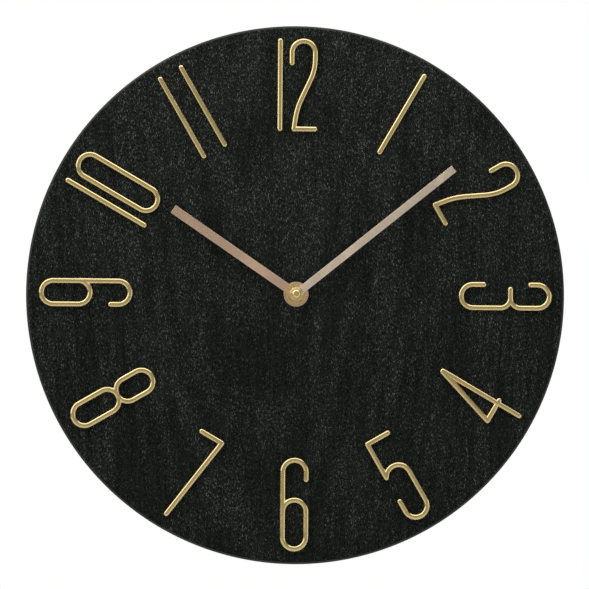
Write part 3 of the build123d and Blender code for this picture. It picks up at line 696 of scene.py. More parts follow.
def film_material(dial):
    """Black wood-grain film: fine drawn-out grain with pores where it is open; its ticks and pores
    are painted lighter, a painted highlight for their glints.
    """
    material, wires, shader = new_material("grain_film", IOR=1.45)
    shader["Specular IOR Level"].default_value = 0.05
    across = wires.node("ShaderNodeAttribute", attribute_name="grain_across").outputs["Fac"]
    patch = wires.node("ShaderNodeAttribute", attribute_name="grain_patch_and_top_light").outputs["Fac"]
    up = wires.object_axes()["Z"]
    flow = wires.node("ShaderNodeCombineXYZ", {"X": across, "Z": up}).outputs[0]
    fine = wires.stretched_noise(flow, (1900.0, 1.0, 640.0), 3.0, 0.7)
    streaks = wires.stretched_noise(flow, (520.0, 1.0, 34.0), 3.0, 0.6)
    ragged = wires.stretched_noise(flow, (150.0, 1.0, 45.0), 4.0, 0.65)
    field = wires.math("MULTIPLY_ADD", wires.math("SUBTRACT", ragged, 0.5), 1.2, patch)
    busy = wires.span(field, 0.1, 0.95, 0.25, 1.0)
    thread = wires.span(fine, 0.38, 0.72)
    ticks_and_glint = wires.math("MULTIPLY", thread, wires.math("MULTIPLY_ADD", busy, 0.62, 0.2))
    pores_and_glint = wires.math("MULTIPLY", wires.math("ADD", wires.pores(flow, (2500.0, 1.0, 1050.0)),
                                             wires.pores(flow, (1750.0, 1.0, 520.0))), busy)
    streak = wires.span(streaks, 0.36, 0.66)
    smooth_shade = wires.mix(streak, tinted(dial.film_colour, 0.5), tinted(dial.film_colour, 2.4))
    # Painted highlight: the ticks take the lighter tick colour, and the pores a brighter one
    # still, in place of glints of light on them.
    colour = wires.mix(ticks_and_glint, smooth_shade, tinted(dial.tick_glint_colour, 1.0))
    colour = wires.mix(pores_and_glint, colour, tinted(dial.tick_glint_colour, 4.2))
    wires.feed(shader["Base Color"], wires.dusty(colour, (0.2, 0.2, 0.19, 1.0), 0.1))
    height = wires.math("MULTIPLY_ADD", ticks_and_glint, 0.6, wires.math("MULTIPLY", streak, 0.35))
    height = wires.math("MULTIPLY_ADD", pores_and_glint, 0.5, height)
    wires.feed(shader["Roughness"], wires.span(ticks_and_glint, 0.0, 1.0, 0.62, 0.42))
    wires.feed(shader["Normal"], wires.bump(height, 0.12 * MM, 0.8))
    return material


def board_material(dial):
    """Black paint over fibreboard: a faint roller stipple with open fibres on the edge."""
    material, wires, shader = new_material("black_board", IOR=1.5)
    shader["Specular IOR Level"].default_value = 0.45
    place = wires.object_place()
    stipple = wires.noise(place, 1400.0, 3.0, 0.6)
    fibres = wires.stretched_noise(place, (500.0, 2600.0, 500.0), 3.0, 0.65)
    cloud = wires.noise(place, 26.0, 4.0, 0.6)
    colour = wires.shaded(cloud, dial.board_colour, 0.72, 1.4, 0.35, 0.65)
    colour = wires.rubbed(colour, (0.055, 0.052, 0.048, 1.0), 0.35, 0.5)
    wires.feed(shader["Base Color"], wires.dusty(colour, (0.25, 0.25, 0.24, 1.0), 0.03))
    wires.feed(shader["Roughness"], wires.handled(0.46, 0.6, -0.1, Smudge_Scale=14.0))
    height = wires.math("MULTIPLY_ADD", fibres, 0.5, stipple)
    wires.feed(shader["Normal"], wires.bump(height, 0.03 * MM, 0.7))
    return material


def plated_material(numerals):
    """Pale gold plating over a moulding: soft ripples, a warm cast and rubbed high spots."""
    material, wires, shader = new_material("gold_plate", Metallic=1.0)
    place = wires.object_place()
    ripple = wires.noise(place, 260.0, 3.0, 0.55)
    pebble = wires.noise(place, 3600.0, 2.0, 0.5)
    cast = wires.noise(place, 85.0, 3.0, 0.6)
    colour = wires.mix(wires.span(cast, 0.3, 0.7), tinted(numerals.colour, 0.92),
                       tinted(numerals.colour, (1.04, 0.99, 1.02)))
    colour = wires.rubbed(colour, tinted(numerals.colour, 1.15), 0.5, 0.3)
    wires.feed(shader["Base Color"], colour)
    wires.feed(shader["Roughness"], wires.handled(0.2, 0.3, 0.1, Smudge_Scale=70.0))
    soft = wires.bump(ripple, 0.035 * MM, 0.3)
    wires.feed(shader["Normal"], wires.bump(pebble, 0.004 * MM, 0.4, soft))
    return material


def satin_material(name, colour, clockwise):
    """Rose-gold sheet, its fine satin lines running along the hand."""
    material, wires, shader = new_material(name, Metallic=1.0)
    lines = wires.effect("brushed_lines", Stretch=(5200.0, 5200.0, 260.0),
                         Turn=(0.0, clockwise, 0.0))
    mottle = wires.noise(wires.object_place(), 420.0, 3.0, 0.6)
    sheet = wires.mix(wires.span(mottle, 0.3, 0.7), tinted(colour, 0.93),
                      tinted(colour, (1.03, 0.98, 1.04)))
    sheet = wires.mix(wires.span(lines["Shade"], 0.35, 0.65, 0.0, 0.35),
                      sheet, tinted(colour, 1.08))
    wires.feed(shader["Base Color"], wires.rubbed(sheet, tinted(colour, 1.16), 0.6, 0.25))
    wires.feed(shader["Roughness"], wires.handled(0.34, 0.46, Smudge_Scale=60.0))
    wires.feed(shader["Normal"], wires.bump(lines["Height"], 0.008 * MM, 0.5))
    return material


def turned_brass_material(name, colour, rough):
    """Brass off the lathe: faint rings about the axis."""
    material, wires, shader = new_material(name, Metallic=1.0)
    place = wires.object_axes()
    squares = wires.math("ADD", wires.math("MULTIPLY", place["X"], place["X"]),
                         wires.math("MULTIPLY", place["Z"], place["Z"]))
    radius = wires.math("SQRT", squares)
    ringed = wires.node("ShaderNodeCombineXYZ", {"X": radius, "Y": place["Y"]}).outputs[0]
    rings = wires.noise(ringed, 2600.0, 2.0, 0.6)
    mottle = wires.noise(wires.object_place(), 900.0, 2.0, 0.5)
    shade = wires.math("MULTIPLY_ADD", mottle, 0.4, wires.math("MULTIPLY", rings, 0.6))
    ringed_colour = wires.shaded(shade, colour, 0.86, 1.08, 0.35, 0.65)
    wires.feed(shader["Base Color"], wires.rubbed(ringed_colour, tinted(colour, 1.15), 0.25, 0.08))
    wires.feed(shader["Roughness"], wires.handled(*rough, Smudge_Scale=220.0))
    wires.feed(shader["Normal"], wires.bump(rings, 0.003 * MM, 0.35))
    return material


def jacket_material(movement, split):
    """A printed steel jacket, plain dark with a copper band, and bare steel at both ends."""
    material, wires, shader = new_material("battery_wrap")
    place = wires.object_axes()
    lines = wires.effect("brushed_lines", Stretch=(900.0, 3000.0, 3000.0))
    band = wires.span(place["X"], split - 0.1 * MM, split + 0.1 * MM)
    dark = wires.shaded(lines["Shade"], movement.wrap_colour, 0.8, 1.3)
    copper = wires.shaded(lines["Shade"], movement.band_colour, 0.85, 1.1)
    colour = wires.mix(band, dark, copper)
    worn = wires.effect("edge_wear", Radius=0.3 * MM, Amount=0.9)["Mask"]
    wires.feed(shader["Base Color"], wires.mix(worn, colour, (0.6, 0.6, 0.6, 1.0)))
    wires.feed(shader["Metallic"], wires.math("MAXIMUM", wires.math("MULTIPLY", band, 0.9), worn))
    wires.feed(shader["Roughness"], wires.handled(0.2, 0.34, 0.15, Smudge_Scale=80.0))
    wires.feed(shader["Normal"], wires.bump(lines["Height"], 0.004 * MM, 0.3))
    return material


def circuit_material():
    """Green solder resist with the copper tracks showing as a raised, lighter web."""
    material, wires, shader = new_material("circuit_green")
    place = wires.object_place()
    cells = wires.node("ShaderNodeTexVoronoi", {"Vector": place, "Scale": 260.0},
                       feature="DISTANCE_TO_EDGE", distance="MANHATTAN")
    track = wires.span(cells.outputs["Distance"], 0.12, 0.05)
    weave = wires.effect("moulded_texture", Grain=1900.0)
    green = wires.mix(wires.span(weave["Shade"], 0.3, 0.7), (0.018, 0.11, 0.045, 1.0),
                      (0.03, 0.17, 0.07, 1.0))
    wires.feed(shader["Base Color"], wires.mix(track, green, (0.08, 0.30, 0.13, 1.0)))
    wires.feed(shader["Roughness"], wires.span(weave["Shade"], 0.3, 0.7, 0.25, 0.4))
    wires.feed(shader["Normal"], wires.bump(track, 0.03 * MM, 0.6))
    return material


WIRE_PITCH = 0.12 * MM


def winding_material():
    """Enamelled copper wire laid turn by turn along the bobbin."""
    material, wires, shader = new_material("copper_wire", Metallic=1.0)
    place = wires.object_axes()
    turns = wires.math("SINE", wires.math("MULTIPLY", place["X"], 2 * math.pi / WIRE_PITCH))
    lay = wires.stretched_noise(wires.object_place(), (9000.0, 300.0, 300.0))
    colour = wires.mix(wires.span(lay, 0.3, 0.7), (0.42, 0.13, 0.05, 1.0),
                       (0.74, 0.30, 0.13, 1.0))
    wires.feed(shader["Base Color"], colour)
    wires.feed(shader["Roughness"], wires.span(lay, 0.3, 0.7, 0.22, 0.4))
    wires.feed(shader["Normal"], wires.bump(turns, 0.03 * MM, 0.7))
    return material


def floor_material():
    """A pale, faintly mottled studio floor."""
    material, wires, shader = new_material("studio_floor", Roughness=0.7)
    mottle = wires.noise(wires.object_place(), 6.0, 4.0)
    wires.feed(shader["Base Color"], wires.mix(mottle, (0.80, 0.80, 0.79, 1.0),
                                               (0.86, 0.86, 0.85, 1.0)))
    return material


# ------------------------------------------------------------------ board and film
BOARD_SEGMENTS = 360
BUSH_RADIUS = 4.0          # of the threaded bush that the movement is clamped by
HUB_HOLE_GAP = 0.2         # of the board's hole round the bush
POCKET_GAP = 2.0           # round the movement's case
POCKET_CORNER = 5.0
SEAT_CORNER = 3.0          # of the hanger plate's seat
RECESS_GAP = 2.0           # round the head of the wall screw
RECESS_DEPTH = 6.5
KEYHOLE_RADIUS = 4.0
KEYHOLE_DROP = 5.0         # of the round hole below the hanger plate's centre
KEYHOLE_TRAVEL = 11.0
SCREW_SPACING = 38.0
SCREW_RADIUS = 1.5
SCREW_DEPTH = 11.0


def board_radius():
    return width_and_height("dial_board")[0] / 2


def slot_outline(centre, half_length, radius, steps=14):
    """An upright slot with half-round ends."""
    points = []
    for side in (1, -1):
        for step in range(steps + 1):
            turn = math.pi * step / steps
            points.append((centre[0] + side * radius * math.cos(turn),
                           centre[1] + side * (half_length + radius * math.sin(turn))))
    return points


def bush_hole(back, front):
    """What cuts the hole that the bush comes through."""
    return plate(circle_points(BUSH_RADIUS + HUB_HOLE_GAP, 64), back, front + CUT_SPARE)


def make_board(dial):
    """The fibreboard disc, with the movement's pocket, the bush hole and the hanger's seat."""
    back, front = depths("dial_board")
    radius = board_radius()
    disc = turned([(0, back, 0), (radius, back, dial.back_round / MM),
                   (radius, front, dial.front_round / MM), (0, front, 0)], BOARD_SEGMENTS, steps=7)
    case_width, case_height = width_and_height("movement_front_case")
    pocket = rectangle(case_width + 2 * POCKET_GAP, case_height + 2 * POCKET_GAP, POCKET_CORNER,
                       across_and_up("movement_front_case"))
    hanger_width, hanger_length = width_and_height("hanger_plate")
    hanger_at = across_and_up("hanger_plate")
    hanger_front = depths("hanger_plate")[1]
    travel_middle = (0, hanger_at.y - KEYHOLE_DROP + KEYHOLE_TRAVEL / 2)
    recess = slot_outline(travel_middle, KEYHOLE_TRAVEL / 2, KEYHOLE_RADIUS + RECESS_GAP)
    cutters = [
        plate(pocket, back - CUT_SPARE, depths("rubber_gasket")[1]),
        bush_hole(back, front),
        plate(rectangle(hanger_width, hanger_length, SEAT_CORNER, hanger_at),
              back - CUT_SPARE, hanger_front),
        plate(recess, back, back + RECESS_DEPTH),
    ]
    for side in (-1, 1):
        at = (0, hanger_at.y + side * SCREW_SPACING / 2)
        cutters.append(plate(circle_points(SCREW_RADIUS, 32, at), back, back + SCREW_DEPTH))
    return cut_from(disc, *cutters)


FIGURE_APEX = -22.0        # where the cathedral figure peaks, across the dial
FIGURE_SPREAD = 130.0      # how fast its arches open
FIGURE_RISE = 0.17         # how far an arch's line climbs for its spread
FIGURE_PITCH = 10.5        # from one growth line to the next
GRAIN_OPENING_AND_TOP_LIGHT = 0.0012    # how much more open the grain is for each millimetre up the dial; painted light, giving the top more bright ticks as if lit from above
FILM_COLUMNS = 600
FILM_ROWS = 92
FILM_RIM = 0.9             # width of the film's rolled-over rim
RIM_SHARES = (0.3, 0.55, 0.78, 0.94, 1.0)


def grain_flow(x, y):
    """How far across the board a point's fibre lies, once the grain's wander is undone."""
    slow = noise.noise(Vector((x / 70, y / 170, 3.1)))
    middle = noise.noise(Vector((x / 24, y / 60, 7.7)))
    quick = noise.noise(Vector((x / 7.5, y / 22, 1.9)))
    return x + 7.0 * slow + 2.2 * middle + 0.5 * quick


def grain_figure(x, y):
    """From 0 on the smooth dark wood to 1 on the open, ticked wood between growth lines, rising up
    the dial as painted light from above.
    """
    across = grain_flow(x, y) - FIGURE_APEX
    line = across * across / FIGURE_SPREAD - FIGURE_RISE * (y + 60.0)
    wander = 2.6 * noise.noise(Vector((x / 30, y / 85, 5.3)))
    wave = math.sin(2 * math.pi * (line + wander) / FIGURE_PITCH)
    patch = noise.noise(Vector((across / 13, y / 70, 11.0)))
    # Painted light: the figure rises towards the top, so the upper dial carries more bright ticks.
    return 0.5 + 0.12 * wave + 0.45 * patch + GRAIN_OPENING_AND_TOP_LIGHT * y


def film_relief(x, y):
    """Height of the embossing below the film's face, from 0 to 1."""
    figure = min(1.0, max(0.0, grain_figure(x, y)))
    fine = noise.noise(Vector((grain_flow(x, y) / 1.4, y / 12.0, 2.3)))
    return 0.55 * (1 - figure) + 0.22 * (1 + fine)


def make_film(dial):
    """The film: columns of points across the disc, embossed, and a rolled-over rim."""
    back, front = depths("grain_film")
    radius = width_and_height("grain_film")[0] / 2
    inner = radius - FILM_RIM
    relief = dial.relief / MM
    shape = bmesh.new()
    columns = []
    for column in range(FILM_COLUMNS + 1):
        turn = math.pi * column / FILM_COLUMNS
        x = -inner * math.cos(turn)
        half = inner * math.sin(turn)
        rows = FILM_ROWS if 0 < column < FILM_COLUMNS else 0
        ys = [half * (2 * row / rows - 1) for row in range(rows + 1)] if rows else [0.0]
        columns.append([shape.verts.new((x, y, front - relief * film_relief(x, y))) for y in ys])
    for left, right in zip(columns, columns[1:]):
        for row in range(FILM_ROWS):
            add_face(shape, left[min(row, len(left) - 1)], right[min(row, len(right) - 1)],
                     right[min(row + 1, len(right) - 1)], left[min(row + 1, len(left) - 1)])
    rim = [column[0] for column in columns] + [column[-1] for column in columns[-2:0:-1]]
    for share in RIM_SHARES:
        out = inner + FILM_RIM * share
        drop = (front - back) * (1 - math.sqrt(max(0.0, 1 - share ** 2)))
        ring = []
        for vert in rim:
            flat = Vector((vert.co.x, vert.co.y)).normalized() * out
            ring.append(shape.verts.new((flat.x, flat.y, min(front - drop, vert.co.z))))
        for step in range(len(rim)):
            following = (step + 1) % len(rim)
            shape.faces.new((rim[step], ring[step], ring[following], rim[following]))
        rim = ring
    for vert in rim:
        vert.co.z = back
    shape.faces.new(rim)
    return cut_from(mesh_of(shape), bush_hole(back - CUT_SPARE, front))


def note_grain(mesh):
    """Writes where the grain runs, and where it is open with its painted top light, on the points
    of an upright mesh.
    """
    across = mesh.attributes.new("grain_across", "FLOAT", "POINT")
    patch = mesh.attributes.new("grain_patch_and_top_light", "FLOAT", "POINT")
    places = [(vert.co.x / MM, vert.co.z / MM) for vert in mesh.vertices]
    across.data.foreach_set("value", [grain_flow(x, y) * MM for x, y in places])
    patch.data.foreach_set("value", [grain_figure(x, y) for x, y in places])


# ------------------------------------------------------------------ numerals
BAR_STEPS = 16             # facets round a bar's section
BAR_CROWN = 1.5            # height of the crowned top over the bar's upright sides
BAR_SQUARENESS = 2.45      # 2 is an elliptical crown, more is flatter
BAR_SINK = 0.12            # of a bar's foot into the film
STROKE_STEP = 0.02         # between the feet and the crowns of bars that meet
BEND_STEP = 6.0            # degrees of turn between two points of a bend


class Trace:
    """The centre line of a bar, drawn run by run and bend by bend."""

    def __init__(self, x, y, heading):
        self.points = [Vector((x, y))]
        self.heading = heading
        self.closed = False

    @property
    def end(self):
        return self.points[-1]

    def run(self, length):
        turn = math.radians(self.heading)
        self.points.append(self.end + length * Vector((math.cos(turn), math.sin(turn))))
        return self

    def run_to_height(self, y):
        return self.run((y - self.end.y) / math.sin(math.radians(self.heading)))

    def bend(self, radius, turn):
        """Turns left along an arc, or right where the turn is negative."""
        side = math.copysign(90.0, turn)
        out = math.radians(self.heading + side)
        centre = self.end + radius * Vector((math.cos(out), math.sin(out)))
        arm = self.end - centre
        steps = max(1, round(abs(turn) / BEND_STEP))
        for step in range(1, steps + 1):
            angle = math.radians(turn * step / steps)
            self.points.append(centre + Matrix.Rotation(angle, 2) @ arm)
        self.heading += turn
        return self


def straight(*places):
    """A centre line straight from place to place."""
    trace = Trace(*places[0], 0)
    trace.points = [Vector(place) for place in places]
    return trace


class Digits:
    """The bars of each digit, measured from the digit's middle in millimetres."""

    def __init__(self, numerals):
        self.top = (numerals.height - numerals.bar) / 2 / MM
        self.bowl = (numerals.width - numerals.bar) / 2 / MM
        self.arc_y = self.top - self.bowl

    def loop(self, top, bottom):
        """A closed ring with half-round ends."""
        side = (top - bottom) - 2 * self.bowl
        trace = Trace(self.bowl, bottom + self.bowl, 90)
        trace.run(side).bend(self.bowl, 180).run(side).bend(self.bowl, 180)
        trace.points.pop()
        trace.closed = True
        return trace

    def digit_0(self):
        return [self.loop(self.top, -self.top)]

    def digit_1(self):
        return [straight((0, -self.top), (0, self.top))]

    def digit_2(self):
        hook_end, shoulder, neck_end = 12.2, 14.5, -8.0
        lean, neck_radius, foot_radius, foot_lean = 25.0, 27.0, 38.0, 8.0
        body = Trace(-self.bowl, hook_end, 90).run_to_height(self.arc_y)
        body.bend(self.bowl, -180).run_to_height(shoulder)
        body.bend(neck_radius, -lean).run_to_height(neck_end)
        body.bend(foot_radius, lean - foot_lean).run_to_height(-self.top)
        return [body, straight((body.end.x, -self.top), (self.bowl, -self.top))]

    def digit_3(self):
        waist, waist_end, bend = 2.9, -3.9, 5.6
        hook_top, hook_bottom = 14.2, -12.0
        upper = Trace(-self.bowl, hook_top, 90).run_to_height(self.arc_y)
        upper.bend(self.bowl, -180).run_to_height(waist + bend)
        upper.bend(bend, -90).run(self.bowl - bend - waist_end)
        lower = Trace(self.bowl - bend, waist, 0).bend(bend, -90).run_to_height(-self.arc_y)
        lower.bend(self.bowl, -180).run_to_height(hook_bottom)
        return [upper, lower]

    def digit_4(self):
        post, bar_y, peak = 4.85, -10.75, 4.4
        return [straight((post, -self.top), (post, self.top)),
                straight((peak, self.top), (-self.bowl, bar_y)),
                straight((-self.bowl, bar_y), (self.bowl, bar_y))]

    def digit_5(self):
        shoulder, bowl_start, bowl_y, hook_end = 3.4, 3.2, 0.6, -11.9
        body = self.through((-self.bowl, bowl_start), (0, bowl_y + self.bowl),
                            (self.bowl, bowl_y))
        body.run_to_height(-self.arc_y).bend(self.bowl, -180).run_to_height(hook_end)
        return [straight((-self.bowl, self.top), (self.bowl, self.top)),
                straight((-self.bowl, self.top), (-self.bowl, shoulder)), body]

    def through(self, start, middle, end):
        """An arc through three places, left heading straight down."""
        a, b, c = Vector(start), Vector(middle), Vector(end)
        m1, m2 = (a + b) / 2, (b + c) / 2
        d1, d2 = (b - a).orthogonal(), (c - b).orthogonal()
        share = ((m2.x - m1.x) * d2.y - (m2.y - m1.y) * d2.x) / (d1.x * d2.y - d1.y * d2.x)
        centre = m1 + d1 * share
        turn = -(a - centre).angle(c - centre)
        trace = Trace(*start, -90)
        steps = round(abs(math.degrees(turn)) / BEND_STEP)
        trace.points = [centre + Matrix.Rotation(turn * step / steps, 2) @ (a - centre)
                        for step in range(steps + 1)]
        return trace

    def digit_6(self):
        loop_top, hook_end = 2.45, 13.9
        tail = Trace(self.bowl, hook_end, 90).run_to_height(self.arc_y)
        tail.bend(self.bowl, 180).run_to_height(loop_top - self.bowl)
        return [self.loop(loop_top, -self.top), tail]

    def digit_7(self):
        foot = -0.3
        return [straight((-self.bowl, self.top), (self.bowl, self.top)),
                straight((self.bowl, self.top), (foot, -self.top))]

    def digit_8(self):
        waist = 2.9
        return [self.loop(self.top, waist), self.loop(waist, -self.top)]

    def digit_9(self):
        traces = self.digit_6()
        for trace in traces:
            trace.points = [-point for point in trace.points]
        return traces


PAIR_LEFT = -9.7           # the 1 of 10 and 12
PAIR_RIGHT = 3.35          # the 0 of 10 and the 2 of 12
ELEVEN_SPACING = 13.3


def digits_of(hour, digits):
    """Each digit of an hour's numeral, as its place across and its bars."""
    if hour == 11:
        return [(side * ELEVEN_SPACING / 2, digits.digit_1()) for side in (-1, 1)]
    if hour in (10, 12):
        second = digits.digit_0() if hour == 10 else digits.digit_2()
        return [(PAIR_LEFT, digits.digit_1()), (PAIR_RIGHT, second)]
    return [(0, getattr(digits, f"digit_{hour}")())]


def bar_section(width, height, sink):
    """The section of a bar as (across, up) points, from its left foot over to its right."""
    points = [(-width / 2, -sink)]
    for step in range(BAR_STEPS + 1):
        turn = math.pi * (1 - step / BAR_STEPS)
        share = abs(math.cos(turn)) ** (2 / BAR_SQUARENESS)
        across = math.copysign(width / 2 * share, math.cos(turn))
        points.append((across, height - BAR_CROWN * (1 - math.sin(turn))))
    points.append((width / 2, -sink))
    points[len(points) // 2] = (0.0, height)
    return points


def side_of(trace, index):
    """The unit vector to the right of a centre line at one of its points."""
    points = trace.points
    count = len(points)
    before = points[index - 1] if trace.closed or index else points[index]
    after = points[(index + 1) % count] if trace.closed or index < count - 1 else points[index]
    along = (after - before).normalized()
    return Vector((along.y, -along.x))


def swept_bar(trace, section):
    """A bar along a centre line, its open ends domed like the bar itself."""
    shape = bmesh.new()

    def lifted(point, side, across, up):
        place = point + side * across
        return shape.verts.new((place.x, place.y, up))

    middle = len(section) // 2
    rings = []
    for index, point in enumerate(trace.points):
        side = side_of(trace, index)
        rings.append([lifted(point, side, across, up) for across, up in section])
    pairs = list(zip(rings, rings[1:]))
    if trace.closed:
        pairs.append((rings[-1], rings[0]))
    for ring, following in pairs:
        for step in range(len(section)):
            after = (step + 1) % len(section)
            shape.faces.new((ring[step], ring[after], following[after], following[step]))
    if trace.closed:
        return mesh_of(shape)
    for index, turn in ((0, -1), (len(trace.points) - 1, 1)):
        ring, point, side = rings[index], trace.points[index], side_of(trace, index)
        fans = [ring[middle + 1:]]
        for step in range(1, BAR_STEPS):
            out = Matrix.Rotation(turn * math.pi * step / BAR_STEPS, 2) @ side
            fans.append([lifted(point, out, *spot) for spot in section[middle + 1:]])
        fans.append(ring[middle - 1::-1])
        for fan, following in zip(fans, fans[1:]):
            shape.faces.new((ring[middle], fan[0], following[0]))
            for step in range(len(fan) - 1):
                shape.faces.new((fan[step], fan[step + 1], following[step + 1], following[step]))
        shape.faces.new([fan[-1] for fan in fans])
    return mesh_of(shape)


def make_numeral(hour, numerals):
    """One hour's numeral, its foot turned the way the dial reads."""
    digits = Digits(numerals)
    film_front = depths("grain_film")[1]
    ring = board_radius() - (numerals.edge_margin + numerals.height / 2) / MM
    clockwise = math.radians(30.0 * hour)
    flipped = math.pi if 4 <= hour <= 8 else 0.0
    place = Matrix.Translation((ring * math.sin(clockwise), ring * math.cos(clockwise),
                                film_front)) @ Matrix.Rotation(flipped - clockwise, 4, "Z")
    meshes = []
    for across, traces in digits_of(hour, digits):
        bars = []
        for order, trace in enumerate(traces):
            ease = order * STROKE_STEP
            section = bar_section(numerals.bar / MM, numerals.relief / MM - ease, BAR_SINK - ease)
            bars.append(swept_bar(trace, section))
        meshes.append(moved(joined(*bars), Matrix.Translation((across, 0, 0))))
    return moved(shells(*meshes), place)


# ------------------------------------------------------------------ hands and nut
HUB_SEGMENTS = 128
HAND_EDGE = 0.12           # rounded off the edges of a stamped hand
HUB_DROP = 0.14            # of the hub's face below the blade that lies over it
HUB_RIDGES = (5.05,)       # radii of the ridges turned into the minute hand's hub
RIDGE_WIDTH = 0.7
GROOVE_WIDTH = 0.35
GROOVE_DEPTH = 0.16
GROOVE_SLOPE = 0.1         # across each wall of a groove
GROOVE_CORNER = 0.03
BLADE_START = 0.5          # from the hub's hole to the blade's root
BLADE_CORNER = 0.15
FACE_SPARE = 0.01          # allowed when a face is placed on the hub or off it
TUBE_RADIUS = 2.5          # of the hour wheel's tube, which the hour hand is pressed on
MINUTE_THREAD_RADIUS = 1.25        # of the arbor's end, which the minute hand and nut take


def hub_radius(node, clockwise):
    """The hub's radius, read from the side of the hand's box that the blade doesn't reach."""
    low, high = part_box(node)
    return -low.z / MM if math.cos(clockwise) > 0 else high.z / MM


def make_hand(node, length, width, hole, clockwise, ridges=()):
    """A stamped hand: a straight blade over a round hub, which may have turned ridges."""
    back, front = depths(node)
    hub = hub_radius(node, clockwise)
    face = front - HUB_DROP
    profile = [(hole, back, 0), (hub, back, HAND_EDGE / 2), (hub, face, HAND_EDGE)]
    half = RIDGE_WIDTH / 2
    wall = [(half + GROOVE_WIDTH + GROOVE_SLOPE, face, GROOVE_CORNER),
            (half + GROOVE_WIDTH, face - GROOVE_DEPTH, GROOVE_CORNER),
            (half + GROOVE_SLOPE, face - GROOVE_DEPTH, GROOVE_CORNER),
            (half, face + HUB_DROP / 2, 2 * GROOVE_CORNER)]
    for ridge in ridges:
        profile += [(ridge + reach, depth, corner) for reach, depth, corner in wall]
        profile += [(ridge - reach, depth, corner) for reach, depth, corner in reversed(wall)]
    profile.append((hole, face, 0))
    disc = turned(profile, HUB_SEGMENTS, closed=True, steps=3)
    start = hole + BLADE_START
    outline = rounded_corners([(width / 2, start, 0), (width / 2, length, BLADE_CORNER),
                               (-width / 2, length, BLADE_CORNER), (-width / 2, start, 0)], 3)
    hand = joined(disc, plate(outline, back, front, HAND_EDGE, HAND_EDGE / 2))

    def is_hub(spot):
        """Whether a face is on the turned hub, not on the blade that lies over it."""
        on_blade = (spot.y > start and abs(spot.x) < width / 2 + FACE_SPARE
                    and spot.z > face + HUB_DROP / 2 + FACE_SPARE)
        return spot.xy.length <= hub + FACE_SPARE and not on_blade

    finish = [int(is_hub(polygon.center)) for polygon in hand.polygons]
    return moved(hand, Matrix.Rotation(-clockwise, 4, "Z")), finish


NUT_FLANGE_RADIUS = 4.0
NUT_STEP_RADIUS = 3.35
NUT_DOME_RADIUS = 2.7
NUT_FLANGE_HEIGHT = 0.7
NUT_STEP_HEIGHT = 0.5
NUT_DOME_ROUND = 1.6
NUT_CAP_WALL = 0.8         # over the thread's blind end
NUT_GROOVE = 0.1           # depth of the groove at the foot of the step


def make_nut():
    """The closed hand nut: a flange, a step and a domed cap."""
    back, front = depths("hand_nut")
    flange, step, dome = NUT_FLANGE_RADIUS, NUT_STEP_RADIUS, NUT_DOME_RADIUS
    flange_front = back + NUT_FLANGE_HEIGHT
    step_front = flange_front + NUT_STEP_HEIGHT
    return turned([
        (MINUTE_THREAD_RADIUS, back, 0), (flange, back, 0.1), (flange, flange_front, 0.18),
        (step + 0.28, flange_front, 0.08), (step + 0.12, flange_front - NUT_GROOVE, 0.05),
        (step, flange_front, 0.05), (step, step_front, 0.2), (dome, step_front, 0.12),
        (dome, front, NUT_DOME_ROUND), (0, front, 0),
        (0, front - NUT_CAP_WALL, 0), (MINUTE_THREAD_RADIUS, front - NUT_CAP_WALL, 0),
    ], HUB_SEGMENTS, closed=True, steps=10)


RING_SEGMENTS = 96
HEX_CHAMFER = 0.45         # turned off the hexagon's corners
END_SPARE = 0.001          # of the turning past the hexagon's ends
CORNER_SPARE = 0.02        # and past its corners


def make_hex_nut():
    """A hexagon nut with the corners turned off both ends."""
    back, front = depths("bush_nut")
    flats = min(width_and_height("bush_nut"))
    corner = flats / math.sqrt(3)
    reach = corner + CORNER_SPARE
    prism = plate([(corner * math.cos(turn), corner * math.sin(turn))
                   for turn in (math.pi / 6 + math.pi * side / 3 for side in range(6))],
                  back, front)
    blank = turned([(BUSH_RADIUS, back - END_SPARE, 0), (flats / 2, back - END_SPARE, 0),
                    (reach, back + HEX_CHAMFER, 0), (reach, front - HEX_CHAMFER, 0),
                    (flats / 2, front + END_SPARE, 0), (BUSH_RADIUS, front + END_SPARE, 0)],
                   RING_SEGMENTS, closed=True)
    return combined(prism, blank, "INTERSECT")


def make_washer():
    back, front = depths("bush_washer")
    radius = width_and_height("bush_washer")[0] / 2
    return turned([(BUSH_RADIUS, back, 0), (radius, back, 0), (radius, front, 0.15),
                   (BUSH_RADIUS, front, 0.1)], RING_SEGMENTS, closed=True, steps=3)


# ------------------------------------------------------------------ back of the clock
MARK_DEPTH = 0.3           # of what is moulded into the movement's cover and knob
KNOB_RING_GAP = 1.2        # from the knob to the ring moulded round it
KNOB_RING_WIDTH = 0.5
ARROW_BEARINGS = (40.0, 140.0)
ARROW_SIZE = 1.5
PIN_MARK_RADIUS = 1.7
PIN_MARK_INSET = 7.0
LABEL_SIZE = (24.0, 13.0)
LABEL_CORNER = 1.5
LABEL_AT = (-9.0, 8.0)
SIGN_LENGTH = 3.2
SIGN_WIDTH = 0.8
SIGN_CORNER = 0.1
SIGN_INSET = 4.5           # of the polarity signs from the cover's sides


def ring_cutter(radius, width, back, depth, at):
    """A round groove, as the solid that cuts it."""
    ring = lathe([(radius, back - CUT_SPARE), (radius + width, back - CUT_SPARE),
                  (radius + width, back + depth), (radius, back + depth)],
                 RING_SEGMENTS, closed=True)
    return moved(ring, Matrix.Translation((at[0], at[1], 0)))


